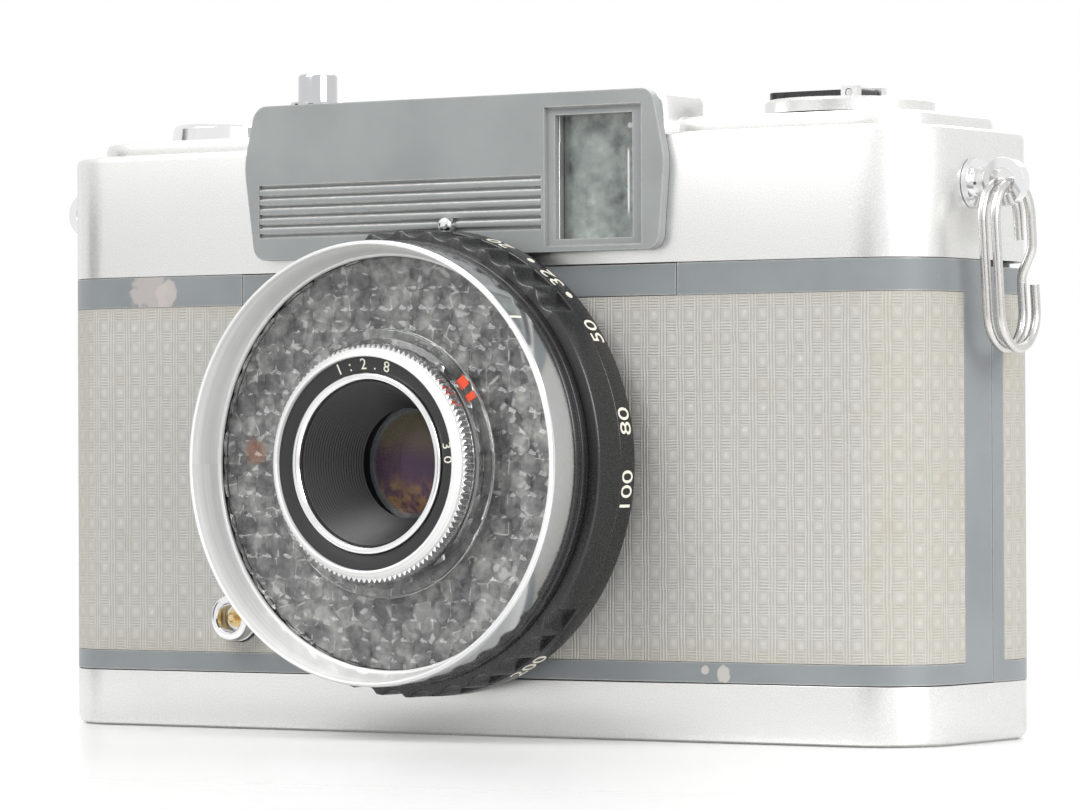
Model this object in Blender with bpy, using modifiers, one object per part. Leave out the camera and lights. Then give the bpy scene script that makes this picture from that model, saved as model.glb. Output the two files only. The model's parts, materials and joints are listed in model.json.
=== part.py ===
"""Half frame camera with a ring of light cells round its lens, as an assembly of separate pieces.

Sizes are in millimetres and are turned into metres where a mesh is made. +X is to the right seen
from the front, -Y is the way the lens looks and +Z is up. The origin is the middle of the base's underside.
"""

import math

import bmesh
import bpy
from mathutils import Matrix, Vector

MM = 0.001
SEAT = 0.05
RUN = 0.15

# Body
BODY_WIDTH = 106.5
BODY_DEPTH = 28.0
CORNER = 7.6
BASE_HEIGHT = 5.9
LOWER_BAND_TOP = 8.0
SKIN_TOP = 44.3
BAND_TOP = 47.5
COVER_EDGE = 60.5
PLATEAU_TOP = 62.1
HUMP_TOP = 64.5
HUMP_REAR = -6.0
SKIN = 0.45
SHEET = 0.9
FRONT = -BODY_DEPTH / 2
BACK = BODY_DEPTH / 2
SIDE = BODY_WIDTH / 2
SKIN_FLOOR = FRONT + SKIN
CASTING_FOOT = BASE_HEIGHT + 0.1
FRONT_SKIN_END = -4.1
BACK_SEAM = 1.35
BACK_SKIN_START = 3.7
BACK_SHELL_TOP = 46.9
TONGUE = SKIN + SHEET + RUN
FILM_PLANE = 10.6
RAIL = 0.3

# Film chambers and gate
CHAMBER_RADIUS = 12.55
CHAMBER_Y = 0.1
CASSETTE_X = 38.0
CASSETTE_ROOF = 49.6
SPOOL_X = -38.0
CHAMBER_FLOOR = 10.8
CHAMBER_ROOF = 46.0
GATE_WIDTH = 18.0
GATE_HEIGHT = 24.0
DARK_WIDTH = 22.0
DARK_HEIGHT = 29.0

# Lens: every depth is measured forward from the front of the body
LENS_X = -0.5
LENS_Z = 27.75
SCALE_RADIUS = 23.5
SCALE_REAR = 2.64
SCALE_FRONT = 9.1
SCALE_BORE = 20.0
SPIGOT_RADIUS = 16.2
FLUTES = 12
FLUTE_DEPTH = 0.6
FLUTE_REAR = 5.3
FLUTE_SECTOR = math.radians(104)
FRONT_RING_RADIUS = 22.25
FRONT_RING_FRONT = 15.55
CELL_FRONT = 11.5
CELL_RADIUS = 22.35
WINDOW_RADIUS = 20.7
WINDOW_BORE = 10.3
LENSLET_PITCH = 2.4
LENSLET_RISE = 0.7
WINDOW_REAR = 10.75
WINDOW_FACE = 11.25
FOCUS_RADIUS = 11.86
FOCUS_FRONT = 16.03
FOCUS_TEETH = 40
SKIRT_RADIUS = 13.5
BARREL_RADIUS = 10.0
BARREL_FRONT = 11.6
PLATE_REAR = -1.6
CASE_RADIUS = 18.0
CASE_REAR = -6.9
BLADE_PIVOT = (9.0, 10.5)
BLADE_RADIUS = 5.2
RIBS = 4

# Finder
HOOD_FRONT = FRONT - 1.2
HOOD_BOTTOM = 48.85
HOOD_TOP = 64.9
FINDER_X = 17.05
FINDER_WIDTH = 9.2
FINDER_LOW = 50.15
FINDER_HIGH = 62.6
EYE_Z = 56.3
GROOVES = 6
GROOVE_PITCH = 1.0
GROOVE_LOWEST = 51.4

# Winding
WHEEL_AT = (-33.0, 3.2)
WHEEL_RADIUS = 12.0
WHEEL_LOW = 50.2
WHEEL_HIGH = 53.8
WHEEL_TEETH = 36
SPROCKET_AT = (-21.5, 4.55)
SPROCKET_RADIUS = 6.05
SPROCKET_TEETH = 8
SMALL_TEETH = 12
IDLER_TEETH = 18
GEAR_LOW = 48.3
GEAR_HIGH = 49.7
BRIDGE_LOW = 55.0
BRIDGE_HIGH = 55.9
COUNTER_AT = (-41.0, 1.0)

# Top controls
BUTTON_AT = (-29.1, 2.0)
BUTTON_RADIUS = 2.1
BUTTON_TOP = 69.4
COLLAR_TOP = 66.4
KNOB_RADIUS = 8.5
KNOB_LOW = 62.4
KNOB_HIGH = 63.8
CRANK_HINGE_X = CASSETTE_X + 1.6
CRANK_TIP_X = CASSETTE_X - 7.0
CRANK_Z = 64.45

# Strap fittings
LUG_Y = -2.3
LUG_Z = 55.0
EYE_X = SIDE + 3.6
EYE_RADIUS = 2.4
EYE_HOLE = 1.42
CLIP_WIRE = 0.95
CLIP_LANES = 1.42
CLIP_BEND = 3.6
CLIP_STRAIGHT = 9.1
CLIP_TILT = math.radians(6)

# Base
TRIPOD_X = 12.0
KEY_AT = (SPOOL_X, CHAMBER_Y)
KEY_RADIUS = 6.6
RELEASE_RADIUS = 2.0

PARTS = "half_frame_camera"
CUTTERS = "cutters"

GREY_PAINT = ((0.27, 0.29, 0.30), 0.45, 0.1)
SATIN_CHROME = ((0.80, 0.80, 0.79), 0.32, 1.0)
BRIGHT_CHROME = ((0.85, 0.85, 0.86), 0.12, 1.0)
BLACK_METAL = ((0.02, 0.02, 0.022), 0.4, 0.3)
LEATHERETTE = ((0.50, 0.49, 0.45), 0.75, 0.0)
CLEAR = ((0.85, 0.87, 0.87), 0.05, 0.0)
GLASS = ((0.55, 0.45, 0.40), 0.03, 0.0)
DARK_CELL = ((0.10, 0.09, 0.10), 0.3, 0.4)
BRASS = ((0.72, 0.55, 0.28), 0.3, 1.0)
STEEL = ((0.62, 0.62, 0.61), 0.3, 1.0)
BLACK_PLASTIC = ((0.03, 0.03, 0.03), 0.5, 0.0)
WHITE_DIAL = ((0.86, 0.86, 0.84), 0.5, 0.0)


def clear_scene():
    """Empty the file and make the two collections that hold the parts and their cutters."""
    for old in list(bpy.data.objects):
        bpy.data.objects.remove(old, do_unlink=True)
    for name in (PARTS, CUTTERS):
        group = bpy.data.collections.new(name)
        bpy.context.scene.collection.children.link(group)


def add_object(name, data, parent=None):
    """Put a mesh or curve in the parts collection."""
    thing = bpy.data.objects.new(name, data)
    bpy.data.collections[PARTS].objects.link(thing)
    thing.parent = parent
    return thing


def from_bmesh(name, bm, parent=None):
    """Make an object of a bmesh and free it."""
    bmesh.ops.recalc_face_normals(bm, faces=bm.faces)
    mesh = bpy.data.meshes.new(name)
    bm.to_mesh(mesh)
    bm.free()
    return add_object(name, mesh, parent)


def axis_empty(name, location, rotation=(0.0, 0.0, 0.0)):
    """Make an empty that carries pieces standing on one axis."""
    empty = add_object(name, None)
    empty.location = Vector(location) * MM
    empty.rotation_euler = rotation
    return empty


def finish(thing, look):
    """Give a piece its own material from a colour, a roughness and a metallic value."""
    colour, roughness, metallic = look
    paint = bpy.data.materials.new(thing.name)
    paint.use_nodes = True
    shader = paint.node_tree.nodes["Principled BSDF"]
    shader.inputs["Base Color"].default_value = (*colour, 1.0)
    shader.inputs["Roughness"].default_value = roughness
    shader.inputs["Metallic"].default_value = metallic
    thing.data.materials.append(paint)
    return thing


def boolean(target, operation, tools):
    """Cut, join or keep the common part of a piece and each tool, and put the tools away."""
    for tool in tools:
        step = target.modifiers.new(tool.name, "BOOLEAN")
        step.operation = operation
        step.object = tool
        step.solver = "EXACT"
        for group in list(tool.users_collection):
            group.objects.unlink(tool)
        bpy.data.collections[CUTTERS].objects.link(tool)
        tool.hide_render = True
        tool.display_type = "WIRE"
    return target


def cut(target, *tools):
    """Take the tools away from a piece."""
    return boolean(target, "DIFFERENCE", tools)


def join(target, *tools):
    """Add the tools to a piece."""
    return boolean(target, "UNION", tools)


def keep(target, tool):
    """Keep what a piece shares with a tool."""
    return boolean(target, "INTERSECT", [tool])


def block(name, low, high, corner=0.0, top=0.0, bottom=0.0, steps=6, parent=None):
    """Make a box between two corners, with round upright edges and round top or bottom edges.

    The upright edges are rounded by corner, in the given steps, and the others in two steps.
    """
    low, high = Vector(low), Vector(high)
    bm = bmesh.new()
    bmesh.ops.create_cube(bm, size=1.0)
    bmesh.ops.scale(bm, vec=(high - low) * MM, verts=bm.verts)
    bmesh.ops.translate(bm, vec=(high + low) * MM / 2, verts=bm.verts)

    def along_z(edge):
        return abs(edge.verts[0].co.z - edge.verts[1].co.z) > 1e-6

    def at_height(edge, height):
        return all(abs(v.co.z - height * MM) < 1e-6 for v in edge.verts)

    def round_off(edges, radius, segments):
        bmesh.ops.bevel(
            bm,
            geom=edges,
            offset=radius * MM,
            offset_type="OFFSET",
            segments=segments,
            profile=0.5,
            affect="EDGES",
        )

    if corner:
        round_off([e for e in bm.edges if along_z(e)], corner, steps)
    if top:
        round_off([e for e in bm.edges if at_height(e, high.z)], top, 2)
    if bottom:
        round_off([e for e in bm.edges if at_height(e, low.z)], bottom, 2)
    return from_bmesh(name, bm, parent)


def rod(name, radius, low, high, at=(0.0, 0.0), sides=32, parent=None):
    """Make a cylinder that stands along Z between two heights."""
    bm = bmesh.new()
    bmesh.ops.create_cone(
        bm,
        cap_ends=True,
        segments=sides,
        radius1=radius * MM,
        radius2=radius * MM,
        depth=(high - low) * MM,
        matrix=Matrix.Translation(Vector((at[0], at[1], (low + high) / 2)) * MM),
    )
    return from_bmesh(name, bm, parent)


def turned(name, profile, steps=30, parent=None, at=(0.0, 0.0, 0.0), solid=False):
    """Turn a profile of (radius, height) points about Z.

    At +X the profile runs down its outer side. A solid one starts and ends on the axis, and another
    one is closed.
    """
    mesh = bpy.data.meshes.new(name)
    count = len(profile)
    links = [(i, i + 1) for i in range(count - 1)]
    if not solid:
        links.append((count - 1, 0))
    mesh.from_pydata([(radius * MM, 0.0, height * MM) for radius, height in profile], links, [])
    thing = add_object(name, mesh, parent)
    thing.location = Vector(at) * MM
    turn = thing.modifiers.new("turn", "SCREW")
    turn.axis = "Z"
    turn.angle = math.tau
    turn.steps = steps
    turn.render_steps = steps
    turn.use_merge_vertices = True
    turn.merge_threshold = 1e-6
    return thing


def ring(outer, inner, low, high):
    """Give the profile of a plain ring."""
    return [(outer, high), (outer, low), (inner, low), (inner, high)]


def as_mesh(curve):
    """Turn a curve object into a welded mesh object of the same name and place."""
    shape = curve.evaluated_get(bpy.context.evaluated_depsgraph_get())
    mesh = bpy.data.meshes.new_from_object(shape)
    bm = bmesh.new()
    bm.from_mesh(mesh)
    bmesh.ops.remove_doubles(bm, verts=bm.verts, dist=1e-7)
    bmesh.ops.recalc_face_normals(bm, faces=bm.faces)
    bm.to_mesh(mesh)
    bm.free()
    name, parent, place = curve.name, curve.parent, curve.matrix_basis.copy()
    bpy.data.objects.remove(curve, do_unlink=True)
    thing = add_object(name, mesh, parent)
    thing.matrix_basis = place
    return thing


def flat(name, points, low, high, parent=None):
    """Extrude an outline in the XY plane between two heights."""
    curve = bpy.data.curves.new(name, "CURVE")
    curve.dimensions = "2D"
    curve.fill_mode = "BOTH"
    curve.extrude = (high - low) * MM / 2
    spline = curve.splines.new("POLY")
    spline.points.add(len(points) - 1)
    for point, (x, y) in zip(spline.points, points):
        point.co = (x * MM, y * MM, 0.0, 1.0)
    spline.use_cyclic_u = True
    thing = add_object(name, curve, parent)
    bpy.context.view_layer.update()
    thing = as_mesh(thing)
    for vertex in thing.data.vertices:
        vertex.co.z += (low + high) * MM / 2
    return thing


def upright(thing, front):
    """Stand an extruded outline up, so that its heights run forward from the plane y = front."""
    thing.rotation_euler = (math.pi / 2, 0.0, 0.0)
    thing.location = (0.0, front * MM, 0.0)
    return thing


def rounded(corners, steps=5):
    """Round each (x, y, radius) corner of an outline with an arc."""
    points = []
    count = len(corners)
    for i, (x, y, radius) in enumerate(corners):
        here = Vector((x, y))
        before = (Vector(corners[i - 1][:2]) - here).normalized()
        after = (Vector(corners[(i + 1) % count][:2]) - here).normalized()
        half = before.angle(after) / 2
        middle = here + (before + after).normalized() * (radius / math.sin(half))
        first = here + before * (radius / math.tan(half)) - middle
        last = here + after * (radius / math.tan(half)) - middle
        for k in range(steps + 1):
            point = middle + first.lerp(last, k / steps).normalized() * radius
            points.append((point.x, point.y))
    return points


def circle(radius, at=(0.0, 0.0), start=0.0, end=math.tau, count=24):
    """Give points along an arc, from start up to but not at end."""
    step = (end - start) / count
    angles = [start + step * i for i in range(count)]
    return [(at[0] + radius * math.cos(a), at[1] + radius * math.sin(a)) for a in angles]


def gear_outline(teeth, pitch_radius, phase):
    """Give the outline of a small gear, with a tooth pointing along phase and room for backlash."""
    module = 2 * pitch_radius / teeth
    root, tip = pitch_radius - 1.2 * module, pitch_radius + 0.85 * module
    step = math.tau / teeth
    corners = ((-0.31, root), (-0.12, tip), (0.12, tip), (0.31, root))
    return [
        (radius * math.cos(phase + (i + share) * step), radius * math.sin(phase + (i + share) * step))
        for i in range(teeth)
        for share, radius in corners
    ]


def saw_outline(teeth, tip, root):
    """Give the outline of a wheel with fine pointed teeth."""
    step = math.pi / teeth
    radii = (tip, root)
    return [
        (radii[i % 2] * math.cos(i * step), radii[i % 2] * math.sin(i * step))
        for i in range(2 * teeth)
    ]


def meshed_phase(driver, follower):
    """Find the phase that puts a follower's gap round its driver's tooth; each is (x, y, teeth, phase)."""
    line = math.atan2(follower[1] - driver[1], follower[0] - driver[0])
    pitch = math.tau / driver[2]
    offset = (line - driver[3]) % pitch
    return line + math.pi + offset * driver[2] / follower[2] + math.pi / follower[2]


def wind_gears():
    """Give (x, y, teeth, phase) for the wheel, spool, idler and sprocket gears, and their module."""
    to_spool = Vector((SPOOL_X, CHAMBER_Y)) - Vector(WHEEL_AT)
    module = to_spool.length / SMALL_TEETH
    wheel = (*WHEEL_AT, SMALL_TEETH, math.atan2(to_spool.y, to_spool.x))
    spool = (SPOOL_X, CHAMBER_Y, SMALL_TEETH, meshed_phase(wheel, (SPOOL_X, CHAMBER_Y, SMALL_TEETH)))
    span = Vector(SPROCKET_AT) - Vector(WHEEL_AT)
    reach = module * (SMALL_TEETH + IDLER_TEETH) / 2
    aside = math.sqrt(reach ** 2 - (span.length / 2) ** 2)
    middle = Vector(WHEEL_AT) + span / 2 + Vector((span.y, -span.x)).normalized() * aside
    idler = (middle.x, middle.y, IDLER_TEETH, meshed_phase(wheel, (middle.x, middle.y, IDLER_TEETH)))
    sprocket = (*SPROCKET_AT, SMALL_TEETH, meshed_phase(idler, (*SPROCKET_AT, SMALL_TEETH)))
    return {"wheel": wheel, "spool": spool, "idler": idler, "sprocket": sprocket}, module


def shell_cutter(name, inset, low, high, near, far):
    """Make the space outside the body's plan outline inset by a wall, between heights and depths."""
    outside = block(name, (-SIDE - 9, near, low), (SIDE + 9, far, high))
    inside = block(
        name + "_core",
        (-SIDE + inset, FRONT + inset, low - 9),
        (SIDE - inset, BACK - inset, high + 9),
        corner=CORNER - inset,
    )
    return cut(outside, inside)


def lens_axis():
    """Make the empty on the lens axis: its local Z points forward and starts at the body's front."""
    return axis_empty("lens_axis", (LENS_X, FRONT, LENS_Z), (math.pi / 2, 0.0, 0.0))


def build_casting(lens, idler):
    """Die-cast body: front wall, two film chambers, dark chamber and gate, open at the back."""
    body = block(
        "body_casting", (-SIDE, FRONT, CASTING_FOOT), (SIDE, BACK, BAND_TOP), corner=CORNER
    )
    roof = block(
        "cassette_roof",
        (24.6, FRONT + 1.1, BAND_TOP - 0.5),
        (51.4, FILM_PLANE, CASSETTE_ROOF + 1.4),
        corner=6.0,
        steps=4,
    )
    join(body, roof)
    seat_half = 26.74 + 0.1
    cut(
        body,
        shell_cutter("skin_pocket", SKIN, LOWER_BAND_TOP, SKIN_TOP, FRONT - 9, FRONT_SKIN_END),
        block(
            "plate_seat",
            (LENS_X - seat_half, FRONT - 9, LOWER_BAND_TOP),
            (LENS_X + seat_half, FRONT - PLATE_REAR + SEAT, BAND_TOP + 0.4),
        ),
        rod("shutter_bay", CASE_RADIUS + 0.3, CASE_REAR - 0.2, 0.0, sides=30, parent=lens),
        block(
            "dark_chamber",
            (LENS_X - DARK_WIDTH / 2, -8.0, LENS_Z - DARK_HEIGHT / 2),
            (LENS_X + DARK_WIDTH / 2, FILM_PLANE - 1.2, LENS_Z + DARK_HEIGHT / 2),
        ),
        block(
            "film_gate",
            (LENS_X - GATE_WIDTH / 2, FILM_PLANE - 3, LENS_Z - GATE_HEIGHT / 2),
            (LENS_X + GATE_WIDTH / 2, BACK, LENS_Z + GATE_HEIGHT / 2),
        ),
        shell_cutter("back_step", TONGUE, 0.0, 60.0, BACK_SEAM, BACK + 9),
        block("back_trim", (-SIDE - 9, FILM_PLANE, 0.0), (SIDE + 9, BACK + 9, 60.0)),
    )
    cut_chambers(body)
    cut_bearings(body)
    for side in (-1, 1):
        rail_z = LENS_Z + side * 14.5
        join(
            body,
            block(
                f"film_rail_{'upper' if side > 0 else 'lower'}",
                (LENS_X - 13, FILM_PLANE - 1, rail_z - 0.5),
                (LENS_X + 13, FILM_PLANE + RAIL, rail_z + 0.5),
            ),
        )
    join(body, rod("idler_post", 0.9, BAND_TOP - 1, GEAR_HIGH + 0.2, at=idler[:2], sides=16))
    return finish(body, GREY_PAINT)


def cut_chambers(body):
    """Open the take-up, cassette and sprocket chambers towards the back."""
    for name, x, low, high, rear_high in (
        ("take_up_chamber", SPOOL_X, CHAMBER_FLOOR, CHAMBER_ROOF, CHAMBER_ROOF),
        ("cassette_chamber", CASSETTE_X, CASTING_FOOT - 3, CASSETTE_ROOF, CHAMBER_ROOF),
    ):
        cut(
            body,
            rod(name, CHAMBER_RADIUS, low, high, at=(x, CHAMBER_Y), sides=30),
            block(
                name + "_mouth",
                (x - CHAMBER_RADIUS + 0.1, CHAMBER_Y, low),
                (x + CHAMBER_RADIUS - 0.1, BACK, rear_high),
            ),
        )
    x, y = SPROCKET_AT
    bay = SPROCKET_RADIUS + 1.55
    cut(
        body,
        rod("sprocket_bay", bay, CHAMBER_FLOOR, CHAMBER_ROOF, at=SPROCKET_AT, sides=24),
        block("sprocket_mouth", (x - bay + 0.1, y, CHAMBER_FLOOR), (x + bay - 0.1, BACK, CHAMBER_ROOF)),
    )


def cut_bearings(body):
    """Drill the casting for its shafts, the release button and the back lock."""
    rewind = (CASSETTE_X, CHAMBER_Y)
    spool = (SPOOL_X, CHAMBER_Y)
    x, y = KEY_AT
    cut(
        body,
        rod("rewind_hole", 2.25, CASSETTE_ROOF - 1, CASSETTE_ROOF + 3, at=rewind, sides=24),
        rod("sprocket_hole", 1.45, 8.4, BAND_TOP + 2, at=SPROCKET_AT, sides=16),
        rod("release_hole", RELEASE_RADIUS + RUN, 5.0, 8.6, at=SPROCKET_AT, sides=20),
        rod("spool_hole", 1.65, CHAMBER_ROOF - 1, BAND_TOP + 2, at=spool, sides=16),
        rod("spool_foot_hole", 1.15, CHAMBER_FLOOR - 0.6, CHAMBER_FLOOR + 1, at=spool, sides=16),
        rod("wheel_hole", 1.65, CHAMBER_ROOF - 1, BAND_TOP + 2, at=WHEEL_AT, sides=16),
        block("lock_slot", (x - 2.4, y - 5.8, 5.0), (x + 2.4, y + 5.8, 8.0)),
        rod("lock_pocket", 6.0, 7.8, 9.8, at=KEY_AT, sides=24),
    )


def build_front(lens):
    """Front plate under the lens, leatherette on both halves and the flash socket with its contact."""
    half = 26.74
    rear = FRONT - PLATE_REAR
    low = LOWER_BAND_TOP + SEAT
    high = BAND_TOP - SEAT
    plate = block("front_plate", (LENS_X - half, SKIN_FLOOR, low), (LENS_X + half, rear, high))
    left, right = LENS_X - half, LENS_X + half
    join(plate, block("plate_band", (left, FRONT, SKIN_TOP + SEAT), (right, rear - 0.2, high)))
    cut(plate, rod("plate_hole", BARREL_RADIUS + RUN, -9, 9, sides=30, parent=lens))
    finish(plate, GREY_PAINT)

    socket_x, socket_z = -27.8, 11.7
    socket = axis_empty("socket_axis", (socket_x, FRONT, socket_z), (math.pi / 2, 0.0, 0.0))
    halves = (("leatherette_left", -SIDE - 1, LENS_X), ("leatherette_right", LENS_X, SIDE + 1))
    for name, near, far in halves:
        skin = block(
            name, (-SIDE, FRONT, low), (SIDE, BACK, SKIN_TOP - SEAT), corner=CORNER
        )
        cut(
            skin,
            block(
                name + "_core",
                (-SIDE + SKIN - SEAT, FRONT + SKIN - SEAT, 0.0),
                (SIDE - SKIN + SEAT, BACK + 9, 60.0),
                corner=CORNER - SKIN + SEAT,
            ),
            block(name + "_rear", (-SIDE - 9, FRONT_SKIN_END - SEAT, 0.0), (SIDE + 9, BACK + 9, 60.0)),
            rod(name + "_lens", SPIGOT_RADIUS + 0.2, -9, 9, sides=40, parent=lens),
            rod(name + "_socket", 2.65, -9, 9, sides=24, parent=socket),
        )
        keep(skin, block(name + "_half", (near, FRONT - 9, 0.0), (far, BACK, 60.0)))
        finish(skin, LEATHERETTE)

    floor = -SKIN + SEAT
    body = turned(
        "flash_socket",
        [(0.0, 0.2), (1.55, 0.2), (1.55, 2.0), (2.1, 2.0), (2.5, 1.6), (2.5, floor), (0.0, floor)],
        steps=24,
        parent=socket,
        solid=True,
    )
    finish(body, BRIGHT_CHROME)
    contact = turned(
        "flash_contact",
        [(0.0, 1.6), (0.35, 1.6), (0.5, 1.4), (0.5, 0.8), (1.0, 0.8), (1.0, 0.25), (0.0, 0.25)],
        steps=16,
        parent=socket,
        solid=True,
    )
    finish(contact, BRASS)


def build_top_cover():
    """Pressed top cover with a raised plateau and finder hump, hollow inside, with all its openings."""
    low = BAND_TOP + SEAT
    step = 2.6
    cover = block("top_cover", (-SIDE, FRONT, low), (SIDE, BACK, COVER_EDGE), corner=CORNER, top=0.7)
    join(
        cover,
        block(
            "plateau",
            (-SIDE + step, FRONT + step, COVER_EDGE - 3),
            (SIDE - step, BACK - step, PLATEAU_TOP),
            corner=CORNER - step + 1.5,
            top=0.8,
        ),
        block(
            "hump",
            (-25.0, FRONT + 0.1, COVER_EDGE - 3),
            (25.0, HUMP_REAR, HUMP_TOP),
            corner=1.0,
            top=0.8,
            steps=2,
        ),
    )
    inner = SHEET
    cut(
        cover,
        block(
            "cover_hollow",
            (-SIDE + inner, FRONT + inner, low - 9),
            (SIDE - inner, BACK - inner, COVER_EDGE - inner),
            corner=CORNER - inner,
        ),
        block(
            "plateau_hollow",
            (-SIDE + step + inner, FRONT + step + inner, COVER_EDGE - 3),
            (SIDE - step - inner, BACK - step - inner, PLATEAU_TOP - inner),
            corner=CORNER - step,
        ),
        block(
            "hump_hollow",
            (-24.1, FRONT + SHEET, COVER_EDGE - 3),
            (24.1, HUMP_REAR - inner, HUMP_TOP - inner),
        ),
        block(
            "finder_hole",
            (FINDER_X - FINDER_WIDTH / 2, FRONT - 3, FINDER_LOW),
            (FINDER_X + FINDER_WIDTH / 2, FRONT + 3, FINDER_HIGH),
        ),
        block("eye_hole", (FINDER_X - 4.95, 11.0, EYE_Z - 3.75), (FINDER_X + 4.95, BACK + 3, EYE_Z + 3.75)),
        block(
            "wheel_slot",
            (WHEEL_AT[0] - 8.2, 11.0, WHEEL_LOW - 0.5),
            (WHEEL_AT[0] + 8.2, BACK + 3, WHEEL_HIGH + 0.5),
        ),
        rod("collar_hole", 3.15, COVER_EDGE, HUMP_TOP + 3, at=BUTTON_AT, sides=24),
        rod("counter_hole", 4.6, COVER_EDGE, HUMP_TOP + 3, at=COUNTER_AT, sides=32),
        rod("knob_hole", 3.4, COVER_EDGE, HUMP_TOP + 3, at=(CASSETTE_X, CHAMBER_Y), sides=24),
    )
    for name, side in (("left", -1), ("right", 1)):
        hole = rod("lug_hole_" + name, 1.35, -4, 4, sides=16)
        hole.rotation_euler = (0.0, math.pi / 2, 0.0)
        hole.location = Vector((side * SIDE, LUG_Y, LUG_Z)) * MM
        cut(cover, hole)
    return finish(cover, SATIN_CHROME)


def build_finder():
    """Hood with its grooves and window, the finder tube behind it, the eyepiece and the index pin."""
    outline = rounded(
        [
            (-24.7, HOOD_TOP, 1.8),
            (-26.15, 58.8, 8.0),
            (-24.8, HOOD_BOTTOM, 1.5),
            (24.9, HOOD_BOTTOM, 1.5),
            (25.65, 58.0, 8.0),
            (24.2, HOOD_TOP, 1.6),
        ]
    )
    hood = upright(flat("finder_hood", outline, HOOD_FRONT - FRONT + SEAT, 0.0), HOOD_FRONT)
    soften = hood.modifiers.new("soften", "BEVEL")
    soften.width = 0.3 * MM
    soften.segments = 1
    soften.limit_method = "ANGLE"
    left, right = FINDER_X - FINDER_WIDTH / 2, FINDER_X + FINDER_WIDTH / 2
    cut(
        hood,
        block(
            "hood_recess",
            (left - 1.0, HOOD_FRONT - 1, FINDER_LOW - 0.7),
            (right + 1.3, HOOD_FRONT + 0.45, 63.4),
        ),
        block("hood_opening", (left, HOOD_FRONT - 1, FINDER_LOW), (right, BACK, FINDER_HIGH)),
    )
    for i in range(GROOVES):
        middle = GROOVE_LOWEST + i * GROOVE_PITCH
        cut(
            hood,
            block(
                f"groove_{i}",
                (-24.2, HOOD_FRONT - 1, middle - 0.22),
                (11.0, HOOD_FRONT + 0.35, middle + 0.22),
            ),
        )
    finish(hood, GREY_PAINT)

    glass_rear = FRONT + SHEET + 1.0
    window = block(
        "finder_window",
        (left - 0.4, FRONT + SHEET + SEAT, FINDER_LOW - 0.4),
        (right + 0.4, glass_rear, FINDER_HIGH + 0.4),
    )
    finish(window, CLEAR)
    tube = block(
        "finder_tube",
        (left - 0.6, glass_rear + 0.1, FINDER_LOW - 0.2),
        (right + 0.6, BACK - SHEET - 2.8, PLATEAU_TOP - SHEET - 0.3),
    )
    bore_top = PLATEAU_TOP - SHEET - 0.9
    cut(tube, block("finder_bore", (left, FRONT, FINDER_LOW + 0.4), (right, BACK, bore_top)))
    finish(tube, BLACK_PLASTIC)

    x, z = FINDER_X, EYE_Z
    frame = block("eyepiece_frame", (x - 5.6, BACK + SEAT, z - 4.4), (x + 5.6, BACK + 1.3, z + 4.4))
    join(frame, block("eye_neck", (x - 4.8, BACK - 1.2, z - 3.6), (x + 4.8, BACK + 0.5, z + 3.6)))
    cut(frame, block("eye_bore", (x - 3.8, BACK - 3, z - 2.7), (x + 3.8, BACK + 3, z + 2.7)))
    finish(frame, BLACK_PLASTIC)
    lens = block("eyepiece_lens", (x - 3.75, BACK - 0.9, z - 2.65), (x + 3.75, BACK + 0.5, z + 2.65))
    finish(lens, CLEAR)

    pin_axis = axis_empty("pin_axis", (-0.2, HOOD_FRONT, 51.9), (math.pi / 2, 0.0, 0.0))
    pin = turned(
        "index_pin",
        [(0.0, 1.2), (0.6, 1.2), (0.85, 0.95), (0.85, SEAT), (0.0, SEAT)],
        steps=16,
        parent=pin_axis,
        solid=True,
    )
    finish(pin, BRIGHT_CHROME)


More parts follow.
